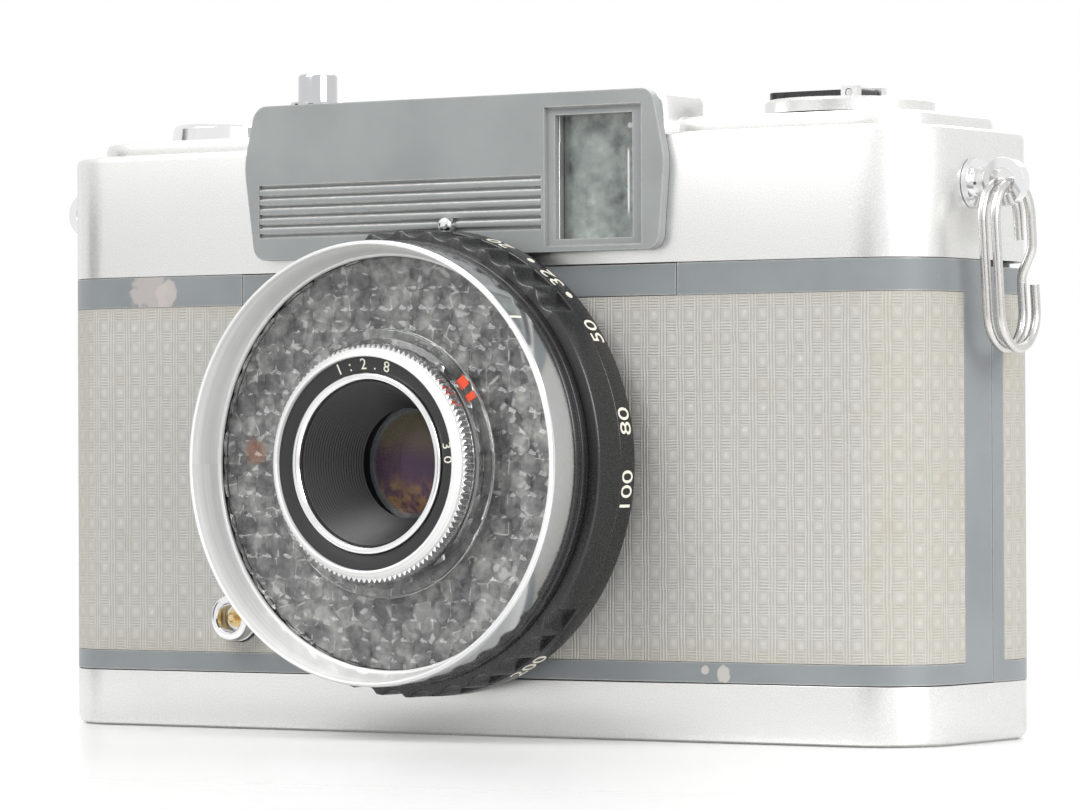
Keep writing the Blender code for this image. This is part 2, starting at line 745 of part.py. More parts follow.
def build_top_controls():
    """Shutter button in its collar, and the frame counter's turret, window and dial."""
    button_axis = axis_empty("button_axis", (*BUTTON_AT, 0.0))
    collar = turned(
        "button_collar",
        [
            (3.0, COLLAR_TOP),
            (3.0, PLATEAU_TOP + 0.7),
            (3.6, PLATEAU_TOP + 0.5),
            (3.6, PLATEAU_TOP + SEAT),
            (3.0, PLATEAU_TOP + SEAT),
            (3.0, PLATEAU_TOP - 1.4),
            (BUTTON_RADIUS + RUN, PLATEAU_TOP - 1.4),
            (BUTTON_RADIUS + RUN, COLLAR_TOP),
        ],
        steps=24,
        parent=button_axis,
    )
    finish(collar, BRIGHT_CHROME)
    button = turned(
        "shutter_button",
        [
            (0.0, BUTTON_TOP - 1.0),
            (1.0, BUTTON_TOP - 1.0),
            (1.2, BUTTON_TOP),
            (BUTTON_RADIUS - 0.25, BUTTON_TOP),
            (BUTTON_RADIUS, BUTTON_TOP - 0.25),
            (BUTTON_RADIUS, 60.4),
            (2.9, 60.2),
            (2.9, 59.6),
            (1.4, 59.6),
            (1.4, 58.0),
            (0.0, 58.0),
        ],
        steps=24,
        parent=button_axis,
        solid=True,
    )
    finish(button, BRIGHT_CHROME)

    counter_axis = axis_empty("counter_axis", (*COUNTER_AT, 0.0))
    bezel = turned(
        "counter_bezel",
        [
            (5.0, 64.3),
            (5.4, 63.9),
            (5.6, PLATEAU_TOP + SEAT),
            (4.5, PLATEAU_TOP + SEAT),
            (4.5, PLATEAU_TOP - 0.8),
            (3.4, PLATEAU_TOP - 0.8),
            (3.4, 63.2),
            (4.2, 63.2),
            (4.4, 64.3),
        ],
        steps=24,
        parent=counter_axis,
    )
    finish(bezel, SATIN_CHROME)
    window = turned(
        "counter_window",
        [(0.0, 64.1), (2.6, 64.0), (4.1, 63.6), (4.1, 63.25), (0.0, 63.25)],
        steps=24,
        parent=counter_axis,
        solid=True,
    )
    finish(window, CLEAR)
    dial = turned(
        "counter_dial",
        [
            (0.0, 60.5),
            (5.2, 60.5),
            (5.2, 59.9),
            (1.2, 59.9),
            (1.2, BRIDGE_HIGH + 0.1),
            (0.8, BRIDGE_HIGH + 0.1),
            (0.8, BRIDGE_LOW + 0.2),
            (0.0, BRIDGE_LOW + 0.2),
        ],
        steps=24,
        parent=counter_axis,
        solid=True,
    )
    finish(dial, WHITE_DIAL)


def build_rewind():
    """Rewind knob with its shaft and fork, and the crank that folds out of it on a pin."""
    knob_axis = axis_empty("rewind_axis", (CASSETTE_X, CHAMBER_Y, 0.0))
    knob = turned(
        "rewind_knob",
        [
            (0.0, KNOB_HIGH),
            (KNOB_RADIUS - 0.3, KNOB_HIGH),
            (KNOB_RADIUS, KNOB_HIGH - 0.3),
            (KNOB_RADIUS, KNOB_LOW),
            (3.1, KNOB_LOW),
            (3.1, KNOB_LOW - 1.4),
            (2.1, KNOB_LOW - 1.6),
            (2.1, CASSETTE_ROOF - 0.3),
            (2.9, CASSETTE_ROOF - 0.3),
            (2.9, 47.0),
            (2.1, 46.6),
            (2.1, 42.5),
            (0.0, 42.5),
        ],
        steps=24,
        parent=knob_axis,
        solid=True,
    )
    tip = CRANK_TIP_X - CASSETTE_X
    hinge = CRANK_HINGE_X - CASSETTE_X
    for side in (-1, 1):
        join(
            knob,
            block(
                f"crank_ear_{'rear' if side > 0 else 'front'}",
                (hinge - 0.9, side * 2.5 - 0.5, KNOB_HIGH - 0.5),
                (hinge + 0.9, side * 2.5 + 0.5, CRANK_Z + 0.7),
                parent=knob_axis,
            ),
        )
    pin_hole = rod("crank_pin_hole", 0.42, -4, 4, sides=12, parent=knob_axis)
    pin_hole.rotation_euler = (math.pi / 2, 0.0, 0.0)
    pin_hole.location = Vector((hinge, 0.0, CRANK_Z)) * MM
    cut(
        knob,
        rod("handle_notch", 2.3, KNOB_LOW - 1, KNOB_HIGH + 1, at=(tip, 0.0), sides=20, parent=knob_axis),
        block("fork_slot", (-0.6, -3.0, 40.0), (0.6, 3.0, 45.6), parent=knob_axis),
        pin_hole,
    )
    finish(knob, SATIN_CHROME)

    crank_axis = axis_empty("crank_axis", (CRANK_HINGE_X, CHAMBER_Y, CRANK_Z))
    reach = CRANK_HINGE_X - CRANK_TIP_X
    arm = flat(
        "rewind_crank",
        rounded([(0.45, -1.85, 0.2), (0.45, 1.85, 0.2), (-reach + 2.2, 1.85, 1.2), (-reach - 1.9, 1.6, 1.3),
                 (-reach - 1.9, -1.6, 1.3), (-reach + 2.2, -1.85, 1.2)], steps=3),
        -0.4,
        0.4,
        parent=crank_axis,
    )
    join(arm, rod("crank_handle", 1.9, -1.6, 0.2, at=(-reach, 0.0), sides=20, parent=crank_axis))
    barrel = rod("crank_barrel", 0.6, -1.85, 1.85, sides=12, parent=crank_axis)
    barrel.rotation_euler = (math.pi / 2, 0.0, 0.0)
    bore = rod("crank_bore", 0.42, -4, 4, sides=12, parent=crank_axis)
    bore.rotation_euler = (math.pi / 2, 0.0, 0.0)
    join(arm, barrel)
    cut(arm, bore)
    finish(arm, BLACK_METAL)
    pin = rod("crank_pin", 0.36, -2.95, 2.95, sides=12, parent=crank_axis)
    pin.rotation_euler = (math.pi / 2, 0.0, 0.0)
    finish(pin, STEEL)


def build_winding(gears, module):
    """Thumbwheel, take-up spool, idler, sprocket, the bridge over them and the release button."""

    def gear_teeth(name):
        teeth, phase = gears[name][2:]
        return gear_outline(teeth, module * teeth / 2, phase)

    wheel_axis = axis_empty("wheel_axis", (*WHEEL_AT, 0.0))
    wheel = flat(
        "wind_wheel",
        saw_outline(WHEEL_TEETH, WHEEL_RADIUS, WHEEL_RADIUS - 0.5),
        WHEEL_LOW,
        WHEEL_HIGH,
        parent=wheel_axis,
    )
    join(
        wheel,
        flat("wheel_gear", gear_teeth("wheel"), GEAR_LOW, WHEEL_LOW + 0.3, wheel_axis),
        rod("wheel_shaft", 1.5, BAND_TOP - 1.2, WHEEL_LOW + 0.5, sides=16, parent=wheel_axis),
        rod("wheel_pivot", 1.2, WHEEL_HIGH - 0.5, BRIDGE_HIGH - 0.2, sides=16, parent=wheel_axis),
    )
    finish(wheel, SATIN_CHROME)

    spool_axis = axis_empty("spool_axis", (SPOOL_X, CHAMBER_Y, 0.0))
    low, high = CHAMBER_FLOOR + 0.3, CHAMBER_ROOF - 0.3
    spool = turned(
        "take_up_spool",
        [
            (0.0, GEAR_HIGH),
            (1.5, GEAR_HIGH),
            (1.5, high),
            (9.5, high),
            (9.5, high - 0.9),
            (6.0, high - 1.2),
            (6.0, low + 1.2),
            (9.5, low + 0.9),
            (9.5, low),
            (1.0, low),
            (1.0, CHAMBER_FLOOR - 0.4),
            (0.0, CHAMBER_FLOOR - 0.4),
        ],
        steps=24,
        parent=spool_axis,
        solid=True,
    )
    join(spool, flat("spool_gear", gear_teeth("spool"), GEAR_LOW, GEAR_HIGH, spool_axis))
    for i in range(3):
        slot = block(f"film_slot_{i}", (2.0, -0.6, LENS_Z - 12), (9.0, 0.6, LENS_Z + 12), parent=spool_axis)
        slot.rotation_euler = (0.0, 0.0, math.tau * i / 3)
        cut(spool, slot)
    finish(spool, BLACK_PLASTIC)

    idler_axis = axis_empty("idler_axis", (*gears["idler"][:2], 0.0))
    idler = flat("idler_gear", gear_teeth("idler"), GEAR_LOW, GEAR_HIGH, idler_axis)
    cut(idler, rod("idler_bore", 0.9 + RUN, 40, 60, sides=16, parent=idler_axis))
    finish(idler, BRASS)
    build_sprocket(gear_teeth("sprocket"))
    build_bridge()

    release_axis = axis_empty("release_axis", (*SPROCKET_AT, 0.0))
    release = turned(
        "release_button",
        [(0.0, 7.0), (RELEASE_RADIUS, 7.0), (RELEASE_RADIUS, 0.6), (RELEASE_RADIUS - 0.3, 0.3), (0.0, 0.3)],
        steps=20,
        parent=release_axis,
        solid=True,
    )
    finish(release, STEEL)


def build_sprocket(gear):
    """Film sprocket: a drum with two rings of teeth, its shaft and its gear."""
    sprocket_axis = axis_empty("sprocket_axis", (*SPROCKET_AT, 0.0))
    low, high = CHAMBER_FLOOR + 0.3, CHAMBER_ROOF - 0.3
    rows = (LENS_Z - 14.1, LENS_Z + 14.1)
    sprocket = turned(
        "film_sprocket",
        [
            (0.0, GEAR_HIGH),
            (1.3, GEAR_HIGH),
            (1.3, high),
            (SPROCKET_RADIUS, high),
            (SPROCKET_RADIUS, rows[1] - 3.0),
            (4.6, rows[1] - 4.0),
            (4.6, rows[0] + 4.0),
            (SPROCKET_RADIUS, rows[0] + 3.0),
            (SPROCKET_RADIUS, low),
            (1.3, low),
            (1.3, 9.0),
            (0.0, 9.0),
        ],
        steps=18,
        parent=sprocket_axis,
        solid=True,
    )
    join(sprocket, flat("sprocket_gear", gear, GEAR_LOW, GEAR_HIGH, sprocket_axis))
    for height in rows:
        for i in range(SPROCKET_TEETH):
            bm = bmesh.new()
            bmesh.ops.create_cone(
                bm, cap_ends=True, segments=4, radius1=1.25 * MM, radius2=0.6 * MM, depth=1.6 * MM
            )
            tooth = from_bmesh(f"tooth_{i}_{height:.0f}", bm, sprocket_axis)
            turn = math.tau * (i + 0.5) / SPROCKET_TEETH
            reach = SPROCKET_RADIUS + 0.35
            tooth.location = Vector((reach * math.cos(turn), reach * math.sin(turn), height)) * MM
            tooth.rotation_euler = (0.0, math.pi / 2, turn)
            join(sprocket, tooth)
    finish(sprocket, STEEL)


def build_bridge():
    """Plate that holds the upper pivots of the thumbwheel and counter, on three posts."""
    bridge = flat(
        "wind_bridge",
        rounded(
            [
                (-49.0, -8.0, 1.5),
                (-17.0, -8.0, 1.5),
                (-20.0, 5.0, 3.0),
                (-45.0, 9.5, 2.0),
                (-49.0, 8.0, 1.5),
            ],
            steps=3,
        ),
        BRIDGE_LOW,
        BRIDGE_HIGH,
    )
    for i, post in enumerate(((-47.0, -6.0), (-19.6, -6.3), (-46.8, 7.6))):
        join(bridge, rod(f"bridge_post_{i}", 1.1, BAND_TOP + SEAT, BRIDGE_LOW + 0.4, at=post, sides=12))
    cut(
        bridge,
        rod("wheel_pivot_hole", 1.2 + RUN, BRIDGE_LOW - 1, BRIDGE_HIGH + 1, at=WHEEL_AT, sides=16),
        rod("counter_pivot_hole", 0.8 + RUN, BRIDGE_LOW - 1, BRIDGE_HIGH + 1, at=COUNTER_AT, sides=16),
    )
    finish(bridge, BRASS)


def build_lens_housing(lens):
    """Lens mount, scalloped scale ring, cell housing, light cell, lenslet window and chrome front ring."""
    rear = -SKIN + SEAT
    bore = BARREL_RADIUS + RUN
    mount = turned(
        "lens_mount",
        [
            (19.8, SCALE_FRONT),
            (19.8, 2.4),
            (20.9, 2.4),
            (20.9, SEAT),
            (SPIGOT_RADIUS, SEAT),
            (SPIGOT_RADIUS, rear),
            (bore, rear),
            (bore, 2.4),
            (18.6, 2.4 + 0.6),
            (18.6, SCALE_FRONT),
        ],
        steps=30,
        parent=lens,
    )
    finish(mount, BLACK_METAL)
    build_scale_ring(lens)

    cell_rear = SCALE_FRONT + RUN
    housing = turned(
        "cell_housing",
        [
            (CELL_RADIUS, CELL_FRONT),
            (CELL_RADIUS, cell_rear),
            (WINDOW_BORE, cell_rear),
            (WINDOW_BORE, cell_rear + 0.55),
            (WINDOW_RADIUS + 0.15, cell_rear + 0.55),
            (WINDOW_RADIUS + 0.15, CELL_FRONT),
        ],
        steps=30,
        parent=lens,
    )
    finish(housing, BLACK_METAL)
    cell_profile = ring(WINDOW_RADIUS, WINDOW_BORE + 0.2, cell_rear + 0.6, WINDOW_REAR - 0.1)
    cell = turned("light_cell", cell_profile, steps=28, parent=lens)
    finish(cell, DARK_CELL)
    build_lenslet_window(lens)

    front = FRONT_RING_FRONT
    inner = WINDOW_RADIUS + 0.1
    low = CELL_FRONT + SEAT
    chrome = turned(
        "front_ring",
        [
            (FRONT_RING_RADIUS - 0.25, front),
            (FRONT_RING_RADIUS, front - 0.3),
            (FRONT_RING_RADIUS, low),
            (inner, low),
            (inner, low + 0.3),
            (FRONT_RING_RADIUS - 0.5, front),
        ],
        steps=40,
        parent=lens,
    )
    finish(chrome, BRIGHT_CHROME)


def build_scale_ring(lens):
    """Black ring with flutes above and below, and smooth sides where the numbers stand."""
    outline = []
    flute = FLUTE_SECTOR / FLUTES
    smooth = math.pi - FLUTE_SECTOR
    for middle in (math.pi / 2, 3 * math.pi / 2):
        start = middle - FLUTE_SECTOR / 2
        for i in range(FLUTES):
            for share, depth in ((0.0, 0.0), (0.3, 0.0), (0.5, 0.9), (0.8, 0.9)):
                angle = start + (i + share) * flute
                radius = SCALE_RADIUS - depth * FLUTE_DEPTH
                outline.append((radius * math.cos(angle), radius * math.sin(angle)))
        end = middle + FLUTE_SECTOR / 2
        outline += circle(SCALE_RADIUS, start=end, end=end + smooth, count=12)
    scale = flat("scale_ring", outline, FLUTE_REAR - 0.4, SCALE_FRONT, lens)
    join(scale, rod("scale_band", SCALE_RADIUS + 0.05, SCALE_REAR, FLUTE_REAR, sides=64, parent=lens))
    cut(scale, rod("scale_bore", SCALE_BORE, 0.0, 15.0, sides=40, parent=lens))
    finish(scale, BLACK_METAL)


def build_lenslet_window(lens):
    """Ring of clear plastic with a honeycomb of small domes over its face."""
    cell = LENSLET_PITCH / math.sqrt(3)
    reach = int(WINDOW_RADIUS / LENSLET_PITCH) + 2
    bm = bmesh.new()
    for row in range(-reach - 2, reach + 3):
        for column in range(-reach - 2, reach + 3):
            x = (column + (row % 2) / 2) * LENSLET_PITCH
            y = row * 1.5 * cell
            away = math.hypot(x, y)
            if away > WINDOW_RADIUS + LENSLET_PITCH or away < WINDOW_BORE - LENSLET_PITCH:
                continue
            spot = Matrix.Translation(Vector((x, y, WINDOW_FACE)) * MM)
            bmesh.ops.create_circle(bm, cap_ends=True, segments=6, radius=cell * MM, matrix=spot)
    bmesh.ops.remove_doubles(bm, verts=bm.verts, dist=1e-6)
    bmesh.ops.recalc_face_normals(bm, faces=bm.faces)
    if sum(face.normal.z for face in bm.faces) < 0:
        bmesh.ops.reverse_faces(bm, faces=bm.faces)
    bmesh.ops.poke(bm, faces=bm.faces[:], offset=LENSLET_RISE * MM)
    rim = [edge for edge in bm.edges if edge.is_boundary]
    walls = bmesh.ops.extrude_edge_only(bm, edges=rim)["geom"]
    foot = [item for item in walls if isinstance(item, bmesh.types.BMVert)]
    bmesh.ops.translate(bm, vec=(0.0, 0.0, (WINDOW_REAR - 1.0 - WINDOW_FACE) * MM), verts=foot)
    below = [edge for edge in bm.edges if edge.is_boundary]
    bmesh.ops.triangle_fill(bm, edges=below, use_beauty=True)
    window = from_bmesh("lenslet_window", bm, lens)
    blank = ring(WINDOW_RADIUS, WINDOW_BORE, WINDOW_REAR, 14.0)
    keep(window, turned("window_blank", blank, steps=40, parent=lens))
    finish(window, CLEAR)


def build_focus_group(lens):
    """What turns when focusing: knurled ring, clear skirt, face ring, trim ring, baffle and front lens."""
    ledge = 14.97
    focus = turned(
        "focus_ring",
        [
            (10.95, FOCUS_FRONT),
            (11.45, 15.5),
            (11.45, 13.5),
            (11.2, 13.5),
            (11.2, 12.1),
            (BARREL_RADIUS + RUN, 12.1),
            (BARREL_RADIUS + RUN, ledge),
            (10.65, ledge),
            (10.65, FOCUS_FRONT),
        ],
        steps=30,
        parent=lens,
    )
    knurl = saw_outline(FOCUS_TEETH, FOCUS_RADIUS, FOCUS_RADIUS - 0.35)
    teeth = flat("focus_teeth", knurl, 13.7, 15.3, lens)
    cut(teeth, rod("focus_teeth_bore", 11.0, 10.0, 20.0, sides=40, parent=lens))
    join(focus, teeth)
    finish(focus, BRIGHT_CHROME)

    skirt = turned(
        "clear_skirt",
        [
            (11.9, 13.45),
            (12.4, 13.05),
            (SKIRT_RADIUS - 0.2, 13.0),
            (SKIRT_RADIUS, 12.8),
            (SKIRT_RADIUS, 12.45),
            (11.28, 12.45),
            (11.28, 13.45),
        ],
        steps=30,
        parent=lens,
    )
    finish(skirt, CLEAR)
    face = turned(
        "face_ring", [(10.6, 15.6), (10.6, 15.02), (9.1, 15.02), (9.1, 15.3)], steps=30, parent=lens
    )
    finish(face, BLACK_METAL)
    trim = turned(
        "trim_ring",
        [(8.85, 15.75), (9.05, 15.55), (9.05, 15.0), (8.2, 15.0), (8.2, 15.4), (8.5, 15.75)],
        steps=30,
        parent=lens,
    )
    finish(trim, BRIGHT_CHROME)
    build_baffle(lens)
    front = turned(
        "front_lens",
        [(0.0, 7.65), (2.0, 7.55), (4.0, 7.2), (5.3, 6.75), (5.95, 6.5), (5.95, 5.4), (0.0, 5.05)],
        steps=28,
        parent=lens,
        solid=True,
    )
    finish(front, GLASS)


def build_baffle(lens):
    """Ribbed black cone in front of the lens, which also holds the front lens at its back."""
    front, throat = (8.1, 14.95), (5.6, 8.0)
    ribs = []
    for i in range(RIBS):
        for share, lift in ((0.0, 0.0), (0.75, 0.28)):
            along = (i + share) / RIBS
            ribs.append(
                (
                    throat[0] + (front[0] - throat[0]) * along - lift,
                    throat[1] + (front[1] - throat[1]) * along,
                )
            )
    baffle = turned(
        "light_baffle",
        [(10.05, 14.95), (10.05, 13.2), (8.85, 13.2), (8.85, 5.0), (6.05, 5.0), (6.05, 7.7), *ribs, front],
        steps=28,
        parent=lens,
    )
    finish(baffle, BLACK_METAL)


def build_inner_lens(lens):
    """Fixed barrel with the middle lens, shutter case with its cover, and the rear lens in its cell."""
    barrel = turned(
        "lens_barrel",
        [
            (BARREL_RADIUS, BARREL_FRONT),
            (BARREL_RADIUS, PLATE_REAR - SEAT),
            (4.6, PLATE_REAR - SEAT),
            (4.6, 1.2),
            (5.9, 1.2),
            (5.9, 4.6),
            (9.05, 4.6),
            (9.05, BARREL_FRONT),
        ],
        steps=28,
        parent=lens,
    )
    finish(barrel, BLACK_METAL)
    middle = turned(
        "middle_lens",
        [(0.0, 2.7), (3.0, 3.0), (5.8, 3.8), (5.8, 1.3), (3.0, 1.9), (0.0, 2.1)],
        steps=24,
        parent=lens,
        solid=True,
    )
    finish(middle, GLASS)

    case_front = PLATE_REAR - 0.1
    case = turned(
        "shutter_case",
        [
            (CASE_RADIUS, case_front),
            (CASE_RADIUS, CASE_REAR),
            (CASE_RADIUS - 1.0, CASE_REAR),
            (CASE_RADIUS - 1.0, case_front - 0.8),
            (4.6, case_front - 0.8),
            (4.6, case_front),
        ],
        steps=28,
        parent=lens,
    )
    for side in (-1, 1):
        spot = (side * BLADE_PIVOT[0], BLADE_PIVOT[1])
        pin = rod(f"blade_pin_{side + 1}", 0.6, -4.9, case_front - 0.4, at=spot, sides=12, parent=lens)
        join(case, pin)
    finish(case, BLACK_METAL)
    cover_profile = ring(CASE_RADIUS - 1.1, 4.6, CASE_REAR + 0.05, CASE_REAR + 0.8)
    cover = turned("shutter_cover", cover_profile, steps=28, parent=lens)
    finish(cover, STEEL)
    for name, side, front in (("blade_left", -1, -3.1), ("blade_right", 1, -3.8)):
        build_blade(name, lens, side, front)

    cell_front = CASE_REAR - SEAT
    rear_cell = turned(
        "rear_cell",
        [(7.0, cell_front), (7.0, -11.0), (4.8, -11.0), (4.8, -10.5), (5.5, -10.5), (5.5, cell_front)],
        steps=28,
        parent=lens,
    )
    finish(rear_cell, BLACK_METAL)
    rear = turned(
        "rear_lens",
        [(0.0, -7.6), (3.0, -7.8), (5.4, -8.6), (5.4, -10.4), (3.0, -10.4), (0.0, -10.4)],
        steps=24,
        parent=lens,
        solid=True,
    )
    finish(rear, GLASS)


def build_blade(name, lens, side, front):
    """Shutter blade: a round shade over the aperture on an arm from its pivot."""
    pivot = axis_empty(name + "_axis", (side * BLADE_PIVOT[0], BLADE_PIVOT[1], 0.0))
    pivot.parent = lens
    centre = (-side * BLADE_PIVOT[0], -BLADE_PIVOT[1])
    arm = math.atan2(centre[1], centre[0])
    length = math.hypot(*centre)
    lean = math.acos((BLADE_RADIUS - 1.6) / length)
    first, last = arm + math.pi - lean, arm + math.pi + lean
    shade = circle(BLADE_RADIUS, centre, last - math.tau, first, count=18)
    shade_end = (centre[0] + BLADE_RADIUS * math.cos(first), centre[1] + BLADE_RADIUS * math.sin(first))
    heel = circle(1.6, (0.0, 0.0), first, last, count=8)
    heel_end = (1.6 * math.cos(last), 1.6 * math.sin(last))
    outline = [*shade, shade_end, *heel, heel_end]
    blade = flat(name, outline, front - 0.3, front, pivot)
    cut(blade, rod(name + "_hole", 0.6 + RUN, -9, 0, sides=12, parent=pivot))
    finish(blade, BLACK_METAL)


def build_straps():
    """A strap lug on each side of the top cover, and the wire clip in the right one."""
    for name, side in (("left", -1), ("right", 1)):
        turn = (0.0, side * math.pi / 2, 0.0)
        lug_axis = axis_empty("lug_axis_" + name, (side * SIDE, LUG_Y, LUG_Z), turn)
        lug = turned(
            "strap_lug_" + name,
            [
                (0.0, 1.9),
                (1.5, 1.9),
                (1.5, 0.9),
                (2.5, 0.7),
                (2.5, SEAT),
                (1.2, SEAT),
                (1.2, -3.0),
                (0.0, -3.0),
            ],
            steps=16,
            parent=lug_axis,
            solid=True,
        )
        eye = rod("lug_eye_" + name, EYE_RADIUS, -0.65, 0.65, sides=20)
        eye.rotation_euler = (math.pi / 2, 0.0, 0.0)
        eye.location = Vector((side * EYE_X, LUG_Y, LUG_Z)) * MM
        hole = rod("lug_eye_hole_" + name, EYE_HOLE, -3, 3, sides=20)
        hole.rotation_euler = (math.pi / 2, 0.0, 0.0)
        hole.location = eye.location
        join(lug, eye)
        cut(lug, hole)
        finish(lug, BRIGHT_CHROME)
    build_clip()


def clip_path():
    """Give the wire's centre line: two oblong turns side by side, with a joggle from one lane to the other.

    It starts half way down the rear side, climbs over the top, goes down the front, under the bottom and
    up the rear side again, changes lane there, and makes the second turn. Points are (lane, y, z) from the
    top of the loop.
    """
    low = -CLIP_BEND - CLIP_STRAIGHT
    near, far = -CLIP_LANES / 2, CLIP_LANES / 2
    middle = -CLIP_BEND - CLIP_STRAIGHT / 2
    top = [
        (CLIP_BEND * math.cos(a), -CLIP_BEND + CLIP_BEND * math.sin(a))
        for a in [math.pi * i / 10 for i in range(11)]
    ]
    bottom = [
        (-CLIP_BEND * math.cos(a), low - CLIP_BEND * math.sin(a))
        for a in [math.pi * i / 10 for i in range(11)]
    ]
    first = [(near, CLIP_BEND, middle + 2.2)] + [(near, y, z) for y, z in top + bottom]
    joggle = [(near, CLIP_BEND, middle - 1.6), (far, CLIP_BEND, middle + 1.6)]
    second = [(far, y, z) for y, z in top + bottom] + [(far, CLIP_BEND, middle - 2.2)]
    return first + joggle + second


def least_gap(points, wire):
    """Measure the least gap between two stretches of a wire that are apart along it."""
    samples = []
    travelled = 0.0
    for a, b in zip(points, points[1:]):
        length = (b - a).length
        for i in range(6):
            samples.append((travelled + length * i / 6, a.lerp(b, i / 6)))
        travelled += length
    gaps = [
        (p - q).length - wire
        for i, (s, p) in enumerate(samples)
        for t, q in samples[i + 1:]
        if t - s > 4 * wire
    ]
    return min(gaps)


def build_clip():
    """Strap clip: one wire wound twice round an oblong, hung in the right lug's eye."""
    curve = bpy.data.curves.new("strap_clip", "CURVE")
    curve.dimensions = "3D"
    curve.bevel_depth = CLIP_WIRE / 2 * MM
    curve.bevel_resolution = 1
    curve.use_fill_caps = True
    points = [Vector(p) for p in clip_path()]
    print(f"least gap in the strap clip: {least_gap(points, CLIP_WIRE):.2f} mm")
    spline = curve.splines.new("POLY")
    spline.points.add(len(points) - 1)
    for point, place in zip(spline.points, points):
        point.co = (*(place * MM), 1.0)
    clip = add_object("strap_clip", curve)
    bpy.context.view_layer.update()
    clip = as_mesh(clip)
    clip.location = Vector((EYE_X, LUG_Y, LUG_Z)) * MM
    clip.rotation_euler = (CLIP_TILT, 0.0, 0.0)
    finish(clip, STEEL)


def build_back():
    """Base plate, back shell with its leatherette, pressure plate on its spring, and the tripod bush."""
    base = block("base_plate", (-SIDE, FRONT, 0.0), (SIDE, BACK, BASE_HEIGHT), corner=CORNER, bottom=0.9)
    wall = 1.0
    cut(
        base,
        block(
            "base_hollow",
            (-SIDE + wall, FRONT + wall, 1.2),
            (SIDE - wall, BACK - wall, BASE_HEIGHT + 9),
            corner=CORNER - wall,
        ),
        rod("tripod_hole", 4.5, -5, 5, at=(TRIPOD_X, 0.0), sides=32),
        rod("key_hole", KEY_RADIUS + RUN, -5, 5, at=KEY_AT, sides=32),
        rod("release_base_hole", RELEASE_RADIUS + 0.4, -5, 5, at=SPROCKET_AT, sides=20),
    )
    finish(base, SATIN_CHROME)

    low = BASE_HEIGHT + SEAT
    shell = block("back_shell", (-SIDE, FRONT, low), (SIDE, BACK, BACK_SHELL_TOP), corner=CORNER)
    inner = SKIN + SHEET
    cut(
        shell,
        block(
            "back_hollow",
            (-SIDE + inner, FRONT - 9, -9.0),
            (SIDE - inner, BACK - inner, 60.0),
            corner=CORNER - inner,
        ),
        block("back_front_half", (-SIDE - 9, FRONT - 9, 0.0), (SIDE + 9, BACK_SEAM + 0.1, 60.0)),
        shell_cutter("back_skin_pocket", SKIN, LOWER_BAND_TOP, SKIN_TOP, BACK_SKIN_START, BACK + 9),
    )
    join(shell, block("back_tab", (-24.0, BACK - 1.85, 1.3), (24.0, BACK - 1.05, low + 2.0)))
    finish(shell, GREY_PAINT)

    skin_low, skin_high = LOWER_BAND_TOP + SEAT, SKIN_TOP - SEAT
    skin = block("leatherette_back", (-SIDE, FRONT, skin_low), (SIDE, BACK, skin_high), corner=CORNER)
    cut(
        skin,
        block(
            "leatherette_back_core",
            (-SIDE + SKIN - SEAT, FRONT - 9, 0.0),
            (SIDE - SKIN + SEAT, BACK - SKIN + SEAT, 60.0),
            corner=CORNER - SKIN + SEAT,
        ),
        block(
            "leatherette_back_front",
            (-SIDE - 9, FRONT - 9, 0.0),
            (SIDE + 9, BACK_SKIN_START + SEAT, 60.0),
        ),
    )
    finish(skin, LEATHERETTE)
    build_pressure_plate()

    bush_axis = axis_empty("tripod_axis", (TRIPOD_X, 0.0, 0.0))
    bush = turned(
        "tripod_bush",
        [
            (4.2, 5.4),
            (4.2, 2.6),
            (6.2, 2.4),
            (6.2, 1.25),
            (4.4, 1.25),
            (4.4, 0.3),
            (4.1, SEAT),
            (3.05, SEAT),
            (3.05, 5.4),
        ],
        steps=24,
        parent=bush_axis,
    )
    finish(bush, BRASS)
    build_lock()


def build_pressure_plate():
    """Plate that holds the film flat on its rails, and the bowed leaf spring behind it."""
    rear = FILM_PLANE + RAIL + 0.15
    plate = upright(
        flat(
            "pressure_plate",
            rounded(
                [
                    (LENS_X - 14, LENS_Z - 16.5, 2.0),
                    (LENS_X + 14, LENS_Z - 16.5, 2.0),
                    (LENS_X + 14, LENS_Z + 16.5, 2.0),
                    (LENS_X - 14, LENS_Z + 16.5, 2.0),
                ],
                steps=3,
            ),
            -0.75,
            0.0,
        ),
        rear,
    )
    finish(plate, BLACK_METAL)
    half, bow, thick = 11.0, 0.5, 0.2
    start = rear + 0.75 + SEAT
    shares = [i / 6 for i in range(-6, 7)]
    lower = [(LENS_X + half * s, start + bow * (1 - s * s)) for s in shares]
    upper = [(x, y + thick) for x, y in reversed(lower)]
    spring = flat("pressure_spring", lower + upper, LENS_Z - 4, LENS_Z + 4)
    finish(spring, STEEL)


